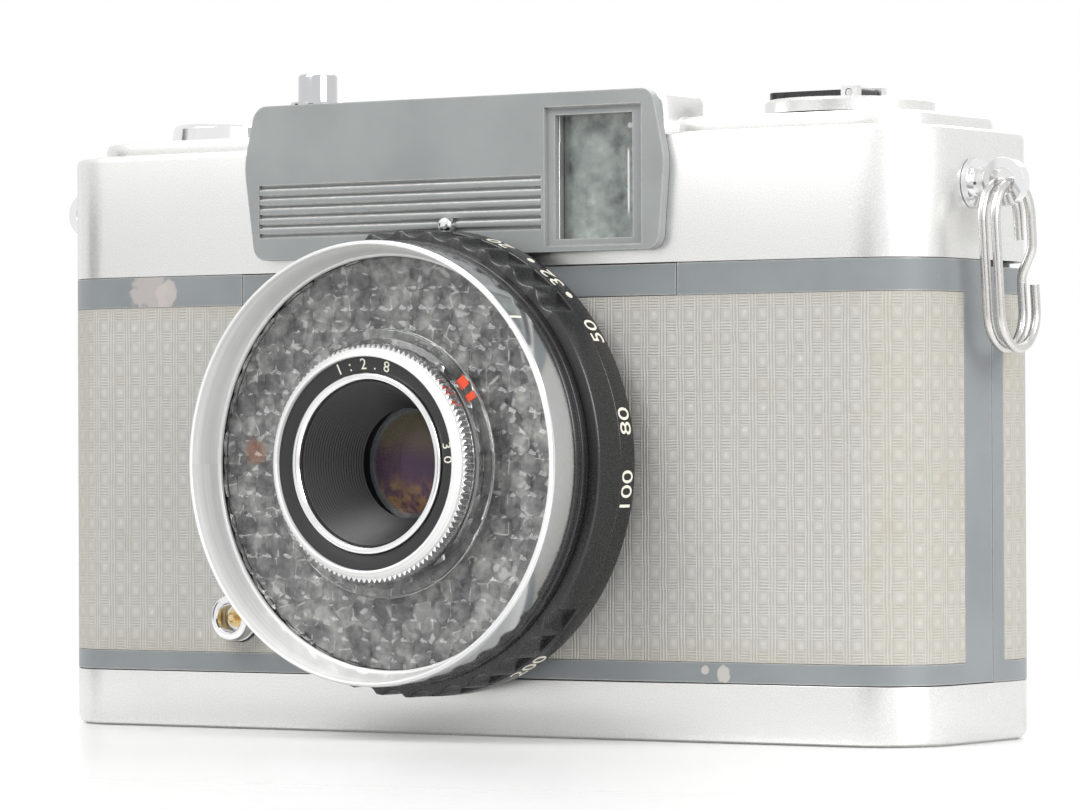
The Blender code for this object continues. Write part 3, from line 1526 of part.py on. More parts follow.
def build_lock():
    """Back lock: a key with a cross bar that turns in the casting, and the handle folded into its face."""
    key_axis = axis_empty("key_axis", (*KEY_AT, 0.0))
    key = turned(
        "lock_key",
        [
            (0.0, 8.4),
            (2.1, 8.4),
            (2.1, 2.2),
            (KEY_RADIUS, 2.2),
            (KEY_RADIUS, 0.4),
            (KEY_RADIUS - 0.3, 0.1),
            (0.0, 0.1),
        ],
        steps=24,
        parent=key_axis,
        solid=True,
    )
    low, high = (-1.95, -5.4, 8.15), (1.95, 5.4, 9.35)
    join(key, block("lock_bar", low, high, corner=0.8, steps=2, parent=key_axis))
    hinge_bar = rod("handle_groove", 0.55, -5.6, 5.6, sides=12, parent=key_axis)
    hinge_bar.rotation_euler = (0.0, math.pi / 2, 0.0)
    hinge_bar.location = Vector((0.0, 0.0, 0.62)) * MM
    cut(
        key,
        rod("handle_recess", 5.2, -3.0, 1.15, sides=28, parent=key_axis),
        hinge_bar,
    )
    finish(key, SATIN_CHROME)

    handle_axis = axis_empty("handle_axis", (*KEY_AT, 0.62))
    outer = circle(4.7, start=0.0, end=math.pi, count=14) + [(-4.7, 0.0), (-4.7, -0.3), (4.7, -0.3)]
    handle = flat("lock_handle", outer, -0.35, 0.35, handle_axis)
    hole = circle(3.5, start=0.0, end=math.pi, count=12) + [(-3.5, 0.0), (-3.5, 0.45), (3.5, 0.45)]
    window = [(x, max(y, 0.45)) for x, y in hole[1:-3]]
    cut(handle, flat("handle_window", [(3.4, 0.45), *window, (-3.4, 0.45)], -2.0, 2.0, handle_axis))
    bar = rod("handle_bar", 0.4, -5.45, 5.45, sides=12, parent=handle_axis)
    bar.rotation_euler = (0.0, math.pi / 2, 0.0)
    join(handle, bar)
    finish(handle, SATIN_CHROME)


def main():
    """Build every piece of the camera."""
    clear_scene()
    lens = lens_axis()
    gears, module = wind_gears()
    build_casting(lens, gears["idler"])
    build_front(lens)
    build_top_cover()
    build_finder()
    build_top_controls()
    build_rewind()
    build_winding(gears, module)
    build_lens_housing(lens)
    build_focus_group(lens)
    build_inner_lens(lens)
    build_straps()
    build_back()


main()
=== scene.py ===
"""Looks of a half frame camera with a ring of light cells round its lens.

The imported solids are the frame. Each sub-assembly below dresses its own solids: it keeps a solid and gives it
a finish, puts a smoother copy of it in its place, or builds a finer piece that stands for it.
Lengths are in millimetres until a mesh is settled in the scene, which is in metres.
"""

from __future__ import annotations

import json
import logging
import math
from dataclasses import dataclass
from enum import Enum
from functools import partial
from typing import Any, Callable, Sequence

import bmesh
import bpy
from mathutils import Matrix, Vector

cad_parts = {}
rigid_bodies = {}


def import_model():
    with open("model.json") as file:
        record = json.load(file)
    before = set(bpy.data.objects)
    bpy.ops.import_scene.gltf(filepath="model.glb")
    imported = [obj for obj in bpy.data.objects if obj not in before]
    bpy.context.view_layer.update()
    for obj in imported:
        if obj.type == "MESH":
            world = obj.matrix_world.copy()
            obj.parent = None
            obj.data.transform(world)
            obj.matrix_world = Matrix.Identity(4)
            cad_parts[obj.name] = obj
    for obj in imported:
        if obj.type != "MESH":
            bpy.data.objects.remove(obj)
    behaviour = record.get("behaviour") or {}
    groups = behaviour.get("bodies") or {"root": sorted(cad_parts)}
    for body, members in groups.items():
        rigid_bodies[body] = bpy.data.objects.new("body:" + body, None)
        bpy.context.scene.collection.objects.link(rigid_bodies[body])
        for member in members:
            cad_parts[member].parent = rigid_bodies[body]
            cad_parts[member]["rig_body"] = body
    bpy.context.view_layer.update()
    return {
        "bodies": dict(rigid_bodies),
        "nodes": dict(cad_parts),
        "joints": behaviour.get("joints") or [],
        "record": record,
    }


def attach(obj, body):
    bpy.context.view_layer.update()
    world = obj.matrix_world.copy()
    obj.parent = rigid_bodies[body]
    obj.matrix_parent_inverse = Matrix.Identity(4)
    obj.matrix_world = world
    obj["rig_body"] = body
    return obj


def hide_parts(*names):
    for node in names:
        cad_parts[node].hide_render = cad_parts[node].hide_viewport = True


LOG = logging.getLogger("camera_looks")
MM = 0.001
IN_MM = (1000.0, 1000.0, 1000.0)
FRONT = -14.0
BACK = 14.0
SIDE = 53.25
CORNER = 7.6
LENS_X = -0.5
LENS_Z = 27.75
FONT_SIZE = 1.38
INK_THICKNESS = 0.02
MIDDLE = Vector((0.0, 0.0, 0.03))

Point2 = tuple[float, float]
Point3 = tuple[float, float, float]
Colour = tuple[float, float, float]


def rgba(colour: Colour) -> tuple[float, float, float, float]:
    """Give a colour with full alpha."""
    return (*colour, 1.0)


def dim(colour: Colour, share: float) -> Colour:
    """Give a colour times a share, held to 1."""
    return tuple(min(1.0, c * share) for c in colour)


def link(name: str, data: bpy.types.ID) -> bpy.types.Object:
    """Put an object with that data in the scene."""
    thing = bpy.data.objects.new(name, data)
    bpy.context.scene.collection.objects.link(thing)
    return thing


def mesh_of(bm: bmesh.types.BMesh, name: str) -> bpy.types.Mesh:
    """Turn a bmesh, which is freed, into a mesh."""
    mesh = bpy.data.meshes.new(name)
    bm.to_mesh(mesh)
    bm.free()
    return mesh


def facing_front(x: float, y: float, z: float) -> Matrix:
    """Give a place at a point in millimetres whose local Z runs forward, in metres."""
    return Matrix.Translation(Vector((x, y, z)) * MM) @ Matrix.Rotation(math.pi / 2, 4, "X")


LENS_PLACE = facing_front(LENS_X, FRONT, LENS_Z)


def math_method(operation: str, swapped: bool = False) -> Callable[..., Wire]:
    """Make a method of Wire that adds a Math node.

    Args:
        operation: The node's operation.
        swapped: Whether the other value comes first.

    Returns:
        The method.
    """

    def method(wire: Wire, other: Any = 0.0) -> Wire:
        """Add the node to the wire's shader."""
        return wire.maths(operation, *((other, wire) if swapped else (wire, other)))

    return method


class Wire:
    """An output socket that takes part in Python expressions."""

    def __init__(self, shader: Shader, socket: bpy.types.NodeSocket) -> None:
        """Hold the socket and the shader that it belongs to."""
        self.shader = shader
        self.socket = socket

    def maths(self, operation: str, first: Any, second: Any = 0.0) -> Wire:
        """Add a Math node with an operation and two values or wires."""
        return self.shader.add("ShaderNodeMath", {"operation": operation}, {0: first, 1: second})

    __add__ = math_method("ADD")
    __radd__ = math_method("ADD", swapped=True)
    __sub__ = math_method("SUBTRACT")
    __rsub__ = math_method("SUBTRACT", swapped=True)
    __mul__ = math_method("MULTIPLY")
    __rmul__ = math_method("MULTIPLY", swapped=True)
    __truediv__ = math_method("DIVIDE")
    __pow__ = math_method("POWER")
    sine = math_method("SINE")
    fraction = math_method("FRACT")
    least = math_method("MINIMUM")
    most = math_method("MAXIMUM")
    size = math_method("ABSOLUTE")

    def between(self, low: float, high: float, start: float = 0.0, end: float = 1.0) -> Wire:
        """Ease from start to end as the value goes from low to high."""
        return self.shader.add(
            "ShaderNodeMapRange",
            {"interpolation_type": "SMOOTHSTEP", "clamp": True},
            {"Value": self, "From Min": low, "From Max": high, "To Min": start, "To Max": end},
        )


class Shader:
    """A material while its nodes are laid."""

    def __init__(self, name: str) -> None:
        """Start a material that holds one shader and its output."""
        self.material = bpy.data.materials.new(name)
        self.material.use_nodes = True
        self.tree = self.material.node_tree
        self.surface = self.tree.nodes["Principled BSDF"]

    def add(
        self,
        kind: str,
        settings: dict[str, Any] | None = None,
        sockets: dict[Any, Any] | None = None,
        output: int | str = 0,
    ) -> Wire:
        """Add a node.

        Args:
            kind: The node's type.
            settings: Its settings, which are set first. A ramp's stops are pairs of a place and a colour.
            sockets: Values or wires of its inputs, by name or number.
            output: The output that is wanted.

        Returns:
            That output.
        """
        node = self.tree.nodes.new(kind)
        for name, value in (settings or {}).items():
            if name == "stops":
                self._set_stops(node.color_ramp, value)
            else:
                setattr(node, name, value)
        for name, value in (sockets or {}).items():
            self._feed(node.inputs[name], value)
        return Wire(self, node.outputs[output])

    def _feed(self, target: bpy.types.NodeSocket, value: Any) -> None:
        """Set an input to a value or link it to a wire."""
        if isinstance(value, Wire):
            self.tree.links.new(value.socket, target)
        else:
            target.default_value = value

    @staticmethod
    def _set_stops(ramp: bpy.types.ColorRamp, stops: Sequence[tuple[float, Colour]]) -> None:
        """Give a colour ramp its stops."""
        while len(ramp.elements) < len(stops):
            ramp.elements.new(0.5)
        for element, (place, colour) in zip(ramp.elements, stops):
            element.position = place
            element.color = rgba(colour)

    def coat(self, **sockets: Any) -> bpy.types.Material:
        """Set the surface's own sockets, named with underscores for spaces.

        Returns:
            The finished material.
        """
        for name, value in sockets.items():
            self._feed(self.surface.inputs[name.replace("_", " ")], value)
        return self.material

    def place(self) -> Wire:
        """Give the point on the piece, in millimetres of the camera's own frame."""
        point = self.add("ShaderNodeTexCoord", output="Object")
        return self.add("ShaderNodeVectorMath", {"operation": "SCALE"}, {0: point, "Scale": 1000.0})

    def split(self, vector: Wire) -> tuple[Wire, Wire, Wire]:
        """Give a vector's three numbers."""
        node = self.add("ShaderNodeSeparateXYZ", sockets={0: vector}).socket.node
        return tuple(Wire(self, node.outputs[i]) for i in range(3))

    def vector(self, x: Any, y: Any, z: Any) -> Wire:
        """Put three numbers together."""
        return self.add("ShaderNodeCombineXYZ", sockets={0: x, 1: y, 2: z})

    def noise(self, point: Wire, scale: float, detail: float = 2.0, rough: float = 0.5) -> Wire:
        """Give soft noise of that many waves in a millimetre, a number round one half."""
        sockets = {"Vector": point, "Scale": scale, "Detail": detail, "Roughness": rough}
        return self.add("ShaderNodeTexNoise", sockets=sockets)

    def mix(self, share: Any, first: Any, second: Any) -> Wire:
        """Blend two colours."""
        colours = [rgba(c) if isinstance(c, tuple) else c for c in (first, second)]
        sockets = {0: share, 6: colours[0], 7: colours[1]}
        return self.add("ShaderNodeMix", {"data_type": "RGBA"}, sockets, output=2)

    def bump(self, height: Wire, depth: float, strength: float = 1.0, under: Wire | None = None) -> Wire:
        """Turn a height into a normal.

        Args:
            height: The height, from 0 to 1.
            depth: What 1 stands for, in millimetres.
            strength: How much of it is used.
            under: A normal that it is laid over.

        Returns:
            The normal.
        """
        sockets = {"Height": height, "Distance": depth * MM, "Strength": strength}
        if under is not None:
            sockets["Normal"] = under
        return self.add("ShaderNodeBump", sockets=sockets)

    def edge(self, width: float) -> Wire:
        """Give a mask of the sharp edges, about that wide in millimetres."""
        soft = self.add("ShaderNodeBevel", {"samples": 6}, {"Radius": width * MM})
        true = self.add("ShaderNodeNewGeometry", output="Normal")
        facing = self.add("ShaderNodeVectorMath", {"operation": "DOT_PRODUCT"}, {0: soft, 1: true}, output=1)
        return 1.0 - facing

    def round_lens(self) -> tuple[Wire, Wire]:
        """Give the distance from the lens axis in millimetres, and the angle round it."""
        x, _, z = self.split(self.place())
        across, up = x - LENS_X, z - LENS_Z
        return (across * across + up * up) ** 0.5, across.maths("ARCTAN2", up, across)


@dataclass(frozen=True)
class Spot:
    """A worn or stained place on the paint, seen from the front."""

    x: float
    z: float
    radius: float
    colour: Colour


@dataclass(frozen=True)
class GreyPaint:
    """Satin grey paint that is chipped along its edges."""

    colour: Colour = (0.228, 0.247, 0.255)
    bare: Colour = (0.62, 0.61, 0.58)
    edge_width: float = 0.5
    wear: float = 0.5
    spots: tuple[Spot, ...] = ()
    black_inside: bool = False
    ribs: tuple[float, float, float, float, int] | None = None

    def make(self, name: str) -> bpy.types.Material:
        """Lay the paint's nodes and give the material."""
        s = Shader(name)
        p = s.place()
        cloud = s.noise(p, 0.12, 3.0)
        grain = s.noise(p, 9.0, 2.0)
        tone = s.mix(cloud.between(0.3, 0.7), dim(self.colour, 0.93), dim(self.colour, 1.07))
        dust = s.noise(p, 1.1, 4.0, 0.65).between(0.66, 0.80)
        tone = s.mix(dust * 0.25, tone, (0.44, 0.44, 0.42))
        ragged = s.noise(p, 1.6, 3.0, 0.7)
        worn = (s.edge(self.edge_width) * 2.2 + ragged - 0.55).between(1.12 - self.wear, 1.24 - self.wear)
        x, y, z = s.split(p)
        for spot in self.spots:
            near = ((x - spot.x) * (x - spot.x) + (z - spot.z) * (z - spot.z)) ** 0.5
            patch = (near / spot.radius + s.noise(p, 0.9, 3.0) * 1.2 - 0.6).between(0.75, 1.0, 1.0, 0.0)
            front = y.between(-13.0, -12.0, 1.0, 0.0)
            tone = s.mix(patch * front * 0.8, tone, spot.colour)
        if self.black_inside:
            over_x = (x.size() - (SIDE - CORNER)).most(0.0)
            over_y = (y.size() - (BACK - CORNER)).most(0.0)
            depth = (over_x * over_x + over_y * over_y) ** 0.5
            inside = depth.between(CORNER - 1.1, CORNER - 0.9, 1.0, 0.0)
            tone = s.mix(inside, tone, (0.014, 0.014, 0.015))
            worn = worn * (1.0 - inside * 0.8)
        normal = s.bump(grain - worn * 0.8, 0.012, 0.5)
        if self.ribs:
            left, right, low, pitch, count = self.ribs
            step = (z - low) / pitch
            over = x.between(left, left + 0.1) * x.between(right - 0.1, right, 1.0, 0.0)
            over = over * step.between(0.0, 0.05) * step.between(count - 0.05, count, 1.0, 0.0)
            normal = s.bump((step.fraction() * math.pi).sine() * over, 0.16, 0.8, normal)
        return s.coat(
            Base_Color=s.mix(worn, tone, self.bare),
            Roughness=0.40 + grain * 0.12 - worn * 0.14,
            Metallic=worn * 0.8 + 0.04,
            Normal=normal,
            Coat_Weight=0.12,
            Coat_Roughness=0.25,
        )


@dataclass(frozen=True)
class SatinChrome:
    """Pressed brass sheet with satin chrome: a fine even grain, with smudges and a few rubs."""

    colour: Colour = (0.80, 0.80, 0.785)
    roughness: float = 0.27

    def make(self, name: str) -> bpy.types.Material:
        """Lay the plating's nodes and give the material."""
        s = Shader(name)
        p = s.place()
        grain = s.noise(p, 7.0, 3.0, 0.7)
        smudge = s.noise(p, 0.10, 3.0, 0.6)
        rub = s.noise(p, 0.9, 5.0, 0.7).between(0.66, 0.76)
        tone = s.mix(grain.between(0.35, 0.70), dim(self.colour, 0.90), dim(self.colour, 1.07))
        tone = s.mix(smudge.between(0.52, 0.75) * 0.16, tone, (0.70, 0.68, 0.63))
        return s.coat(
            Base_Color=s.mix(rub * 0.25, tone, (0.60, 0.59, 0.56)),
            Metallic=1.0,
            Roughness=self.roughness + grain * 0.10 + smudge * 0.08 - rub * 0.06,
            Normal=s.bump(grain, 0.010, 0.55),
        )


@dataclass(frozen=True)
class PolishedChrome:
    """Bright chrome with hair scratches and a dull bloom in places."""

    colour: Colour = (0.83, 0.83, 0.835)
    roughness: float = 0.09

    def make(self, name: str) -> bpy.types.Material:
        """Lay the plating's nodes and give the material."""
        s = Shader(name)
        p = s.place()
        bloom = s.noise(p, 0.35, 4.0, 0.6)
        hair = s.noise(p, 5.0, 3.0, 0.8)
        tone = s.mix(bloom.between(0.55, 0.75) * 0.25, self.colour, (0.62, 0.60, 0.56))
        return s.coat(
            Base_Color=tone,
            Metallic=1.0,
            Roughness=self.roughness + bloom.between(0.5, 0.8) * 0.10 + hair * 0.05,
            Normal=s.bump(hair, 0.004, 0.4),
        )


@dataclass(frozen=True)
class LatheChrome:
    """Pale turned metal with the fine lines of the lathe round the lens axis, polished outside a radius."""

    colour: Colour = (0.90, 0.90, 0.89)
    roughness: float = 0.34
    metal: float = 0.35
    lines: float = 5.0
    polished_from: float = 22.1

    def make(self, name: str) -> bpy.types.Material:
        """Lay the metal's nodes and give the material."""
        s = Shader(name)
        _, y, _ = s.split(s.place())
        radius, turn = s.round_lens()
        along = radius * self.lines + y * self.lines * 0.35
        groove = s.noise(s.vector(along, turn * 0.12, 0.0), 1.0, 4.0, 0.75)
        wide = s.noise(s.vector(radius * 0.9 + y * 0.4, turn * 0.5, 3.0), 1.0, 2.0)
        bright = radius.between(self.polished_from, self.polished_from + 0.12)
        tone = s.mix(groove.between(0.35, 0.68), dim(self.colour, 0.78), self.colour)
        dull = self.roughness + groove * 0.12 + wide.between(0.45, 0.7) * 0.10
        return s.coat(
            Base_Color=s.mix(bright, tone, (0.80, 0.81, 0.83)),
            Metallic=bright * (1.0 - self.metal) + self.metal,
            Roughness=dull * (1.0 - bright) + bright * 0.12,
            Normal=s.bump(groove * (1.0 - bright * 0.8), 0.020, 0.5),
        )


@dataclass(frozen=True)
class BlackEnamel:
    """Satin black enamel with dusty hollows and rubbed edges."""

    colour: Colour = (0.014, 0.014, 0.015)
    roughness: float = 0.20
    wear: float = 0.25

    def make(self, name: str) -> bpy.types.Material:
        """Lay the enamel's nodes and give the material."""
        s = Shader(name)
        p = s.place()
        grain = s.noise(p, 6.0, 3.0, 0.6)
        dust = s.noise(p, 1.3, 5.0, 0.7).between(0.62, 0.80)
        worn = (s.edge(0.25) * 1.8 + grain - 0.55).between(1.05 - self.wear, 1.3 - self.wear)
        tone = s.mix(dust * 0.16, self.colour, (0.22, 0.21, 0.19))
        return s.coat(
            Base_Color=s.mix(worn * 0.7, tone, (0.30, 0.29, 0.27)),
            Roughness=self.roughness + grain * 0.14 + dust * 0.2,
            Metallic=worn * 0.6,
            Normal=s.bump(grain, 0.010, 0.4),
            Specular_IOR_Level=0.6,
        )


@dataclass(frozen=True)
class Leatherette:
    """Pale grey covering, pressed into small squares with fine ridges between them."""

    colour: Colour = (0.505, 0.498, 0.470)
    across: float = 2.1
    down: float = 2.32
    ridges_across: int = 3
    ridges_down: int = 4

    def make(self, name: str) -> bpy.types.Material:
        """Lay the covering's nodes and give the material."""
        s = Shader(name)
        skin = s.add("ShaderNodeUVMap", {"uv_map": "skin"})
        p = s.place()
        wander = s.noise(p, 0.30, 2.0) - 0.5
        u, v, _ = s.split(skin)
        step_u = ((u + wander * 0.30) / self.across).fraction()
        step_v = ((v + wander * 0.34) / self.down).fraction()
        band_u, ridge_u = self._band(step_u, self.ridges_across)
        band_v, ridge_v = self._band(step_v, self.ridges_down)
        cell = (1.0 - band_u) * (1.0 - band_v)
        fine = s.noise(p, 4.5, 3.0, 0.7)
        uneven = s.noise(p, 0.55, 3.0, 0.65)
        swell = (step_u * (math.pi / 0.47)).sine() * (step_v * (math.pi / 0.47)).sine()
        weft = ridge_v * (1.0 - band_u * 0.75) * (uneven * 1.5 - 0.1)
        warp = ridge_u * (0.28 + s.noise(p, 0.8, 3.0, 0.6) * 0.7)
        height = warp * 0.62 + weft * 0.62 + cell * (0.16 + swell * 0.22) + fine * 0.36
        # Painted shade: the covering's colour is darker in the hollows of its pattern and lighter on its raised
        # ridges and squares.
        shade = height.between(0.08, 0.72)
        low = dim(self.colour, 0.76)
        high = dim(self.colour, 1.10)
        # Painted highlights: pale glints on the middle of the raised squares, which are also made a little
        # glossier.
        painted_glint = cell * swell * s.noise(p, 1.4, 4.0, 0.7).between(0.60, 0.68)
        tone = s.mix(painted_glint * 0.4, s.mix(shade, low, high), (0.80, 0.80, 0.77))
        _, _, z = s.split(p)
        top_and_foot = z.between(8.0, 11.0, 1.0, 0.0).most(z.between(42.0, 44.4, 0.0, 0.7))
        rim = top_and_foot.most(u.size().between(46.0, 49.0))
        stain = (rim * 0.5 + s.noise(p, 0.25, 4.0, 0.6).between(0.52, 0.78) * 0.45) * s.noise(p, 1.2, 3.0)
        tone = s.mix(stain, tone, (0.40, 0.36, 0.26))
        return s.coat(
            Base_Color=tone,
            Roughness=0.54 + fine * 0.16 - painted_glint * 0.24,
            Normal=s.bump(height, 0.15, 0.62),
            Specular_IOR_Level=0.45,
        )

    @staticmethod
    def _band(step: Wire, ridges: int) -> tuple[Wire, Wire]:
        """Give the band between two rows of squares, and the ridges in it."""
        band = step.between(0.44, 0.52).least(step.between(0.94, 1.0, 1.0, 0.0))
        wave = ((step - 0.47) * (math.tau * ridges / 0.5)).sine() * 0.5 + 0.5
        return band, band * wave


@dataclass(frozen=True)
class ClearPlastic:
    """Clear moulded plastic or glass."""

    colour: Colour = (0.93, 0.94, 0.93)
    roughness: float = 0.03
    ior: float = 1.49
    film: float = 0.0

    def make(self, name: str) -> bpy.types.Material:
        """Lay the clear material's nodes and give it."""
        s = Shader(name)
        p = s.place()
        haze = s.noise(p, 0.8, 4.0, 0.65)
        s.coat(
            Base_Color=s.mix(haze.between(0.5, 0.8) * 0.3, self.colour, dim(self.colour, 0.82)),
            Roughness=self.roughness + haze.between(0.55, 0.85) * 0.06,
            IOR=self.ior,
            Transmission_Weight=1.0,
        )
        if self.film:
            s.coat(Thin_Film_Thickness=self.film, Thin_Film_IOR=1.38)
        return s.material


@dataclass(frozen=True)
class CoatedGlass:
    """Old coated lens: clear, with a faint veil and painted reflections of its coating, olive above, violet in
    the middle, golden lower down and pale blue-grey at the rim.
    """

    film: float = 105.0
    ior: float = 1.6
    clear: float = 0.72
    # Colours of the painted reflections of the coating.
    above: Colour = (0.50, 0.45, 0.33)
    middle: Colour = (0.36, 0.25, 0.36)
    below: Colour = (0.95, 0.62, 0.34)
    rim: Colour = (0.62, 0.70, 0.74)
    pale_reflection_from: float = 4.9

    def make(self, name: str) -> bpy.types.Material:
        """Lay the glass's nodes and give the material."""
        s = Shader(name)
        p = s.place()
        _, _, z = s.split(p)
        radius, _ = s.round_lens()
        # Painted reflections: violet in the middle, olive higher up, golden lower down and pale blue-grey at
        # the rim.
        patch = z - LENS_Z + (s.noise(p, 0.35, 3.0, 0.6) - 0.5) * 5.0
        tone = s.mix(patch.between(0.2, 2.6), self.middle, self.above)
        painted_gold_reflection = patch.between(-3.4, -1.4, 1.0, 0.0) * s.noise(p, 0.9, 2.0).between(0.4, 0.6)
        tone = s.mix(painted_gold_reflection, tone, self.below)
        tone = s.mix(radius.between(self.pale_reflection_from, self.pale_reflection_from + 0.4), tone, self.rim)
        return s.coat(
            Base_Color=tone,
            Roughness=0.02 + s.noise(p, 0.8, 4.0, 0.65).between(0.55, 0.85) * 0.05,
            IOR=self.ior,
            Transmission_Weight=self.clear,
            Thin_Film_Thickness=self.film,
            Thin_Film_IOR=1.38,
        )


@dataclass(frozen=True)
class CellFace:
    """Dark face of the light cell, uneven in tone, with painted highlights along some seams between its tiles,
    as it shows through the small lenses.
    """

    def make(self, name: str) -> bpy.types.Material:
        """Lay the cell's nodes and give the material."""
        s = Shader(name)
        p = s.place()
        blotch = s.noise(p, 0.55, 2.0, 0.5)
        fleck = s.noise(p, 1.7, 3.0, 0.6)
        tiles = {"Vector": p, "Scale": 0.42, "Randomness": 0.4}
        tile = s.add("ShaderNodeTexVoronoi", sockets=tiles, output="Color")
        own, _, _ = s.split(tile)
        seam = s.add("ShaderNodeTexVoronoi", {"feature": "DISTANCE_TO_EDGE"}, tiles)
        depth = blotch * 0.62 + fleck * 0.26 + own * 0.12
        tone = s.add(
            "ShaderNodeValToRGB",
            {
                "stops": [
                    (0.36, (0.075, 0.075, 0.078)),
                    (0.47, (0.22, 0.22, 0.22)),
                    (0.56, (0.42, 0.418, 0.405)),
                    (0.68, (0.70, 0.69, 0.65)),
                ]
            },
            {0: depth},
        )
        # Painted highlights: bright seams between some of the tiles.
        painted_seam_highlight = seam.between(0.012, 0.035, 1.0, 0.0) * s.noise(p, 0.9, 2.0).between(0.50, 0.60)
        tone = s.mix(painted_seam_highlight * 0.75, tone, (0.92, 0.92, 0.90))
        x, _, z = s.split(p)
        near = ((x + 17.6) * (x + 17.6) + (z - 29.0) * (z - 29.0)) ** 0.5
        tone = s.mix(near.between(0.7, 1.7, 0.8, 0.0), tone, (0.42, 0.13, 0.03))
        normal = s.bump(fleck, 0.05, 0.3)
        return s.coat(Base_Color=tone, Roughness=0.35 + fleck * 0.2, Metallic=0.1, Normal=normal)


@dataclass(frozen=True)
class FinderGlass:
    """Finder window: pale glass with blurred shapes of what is behind it painted in light and shade, a painted
    highlight line and spot, and painted shade over its left part.
    """

    def make(self, name: str) -> bpy.types.Material:
        """Lay the window's nodes and give the material."""
        s = Shader(name)
        p = s.place()
        blur = s.noise(p, 0.42, 2.0, 0.45)
        small = s.noise(p, 1.1, 2.0, 0.5)
        tone = s.add(
            "ShaderNodeValToRGB",
            {
                "stops": [
                    (0.28, (0.055, 0.066, 0.066)),
                    (0.46, (0.20, 0.23, 0.215)),
                    (0.60, (0.30, 0.335, 0.31)),
                    (0.76, (0.50, 0.54, 0.51)),
                ]
            },
            {0: blur * 0.7 + small * 0.3},
        )
        x, _, z = s.split(p)
        # Painted highlights: a bright vertical line and a small bright spot.
        line = (x - 20.1).size().between(0.05, 0.16, 1.0, 0.0)
        line = line * z.between(52.0, 53.5) * z.between(58.6, 59.4, 1.0, 0.0)
        spot = ((x - 20.3) * (x - 20.3) + (z - 61.4) * (z - 61.4)).between(0.02, 0.14, 1.0, 0.0)
        # Painted shade: darker over the left part of the window.
        shade = x.between(12.4, 13.6, 0.75, 0.0)
        tone = s.mix(line.most(spot), s.mix(shade, tone, (0.02, 0.024, 0.024)), (0.88, 0.90, 0.87))
        return s.coat(
            Base_Color=tone,
            Roughness=0.22 + small * 0.1,
            Coat_Weight=1.0,
            Coat_Roughness=0.02,
        )


@dataclass(frozen=True)
class Ink:
    """Printed or filled marking."""

    colour: Colour

    def make(self, name: str) -> bpy.types.Material:
        """Lay the ink's nodes and give the material."""
        s = Shader(name)
        p = s.place()
        thin = s.noise(p, 3.0, 3.0, 0.6)
        tone = s.mix(thin.between(0.55, 0.8) * 0.35, self.colour, dim(self.colour, 0.7))
        return s.coat(Base_Color=tone, Roughness=0.5 + thin * 0.15, Normal=s.bump(thin, 0.01, 0.3))


@dataclass(frozen=True)
class PlainMetal:
    """Machined or stamped metal inside the camera, with tool marks and a little tarnish."""

    colour: Colour
    roughness: float = 0.28

    def make(self, name: str) -> bpy.types.Material:
        """Lay the metal's nodes and give the material."""
        s = Shader(name)
        p = s.place()
        mark = s.noise(p, 3.5, 4.0, 0.7)
        tarnish = s.noise(p, 0.3, 3.0, 0.6)
        tone = s.mix(tarnish.between(0.45, 0.75) * 0.4, self.colour, dim(self.colour, 0.62))
        return s.coat(
            Base_Color=tone,
            Metallic=1.0,
            Roughness=self.roughness + mark * 0.15 + tarnish * 0.08,
            Normal=s.bump(mark, 0.012, 0.5),
        )


@dataclass(frozen=True)
class PlainPlastic:
    """Moulded plastic with a light grain."""

    colour: Colour
    roughness: float = 0.42

    def make(self, name: str) -> bpy.types.Material:
        """Lay the plastic's nodes and give the material."""
        s = Shader(name)
        p = s.place()
        grain = s.noise(p, 5.0, 3.0, 0.6)
        dust = s.noise(p, 0.9, 4.0, 0.6).between(0.6, 0.8)
        tone = s.mix(dust * 0.2, self.colour, (0.35, 0.34, 0.32))
        normal = s.bump(grain, 0.02, 0.4)
        return s.coat(Base_Color=tone, Roughness=self.roughness + grain * 0.15, Normal=normal)


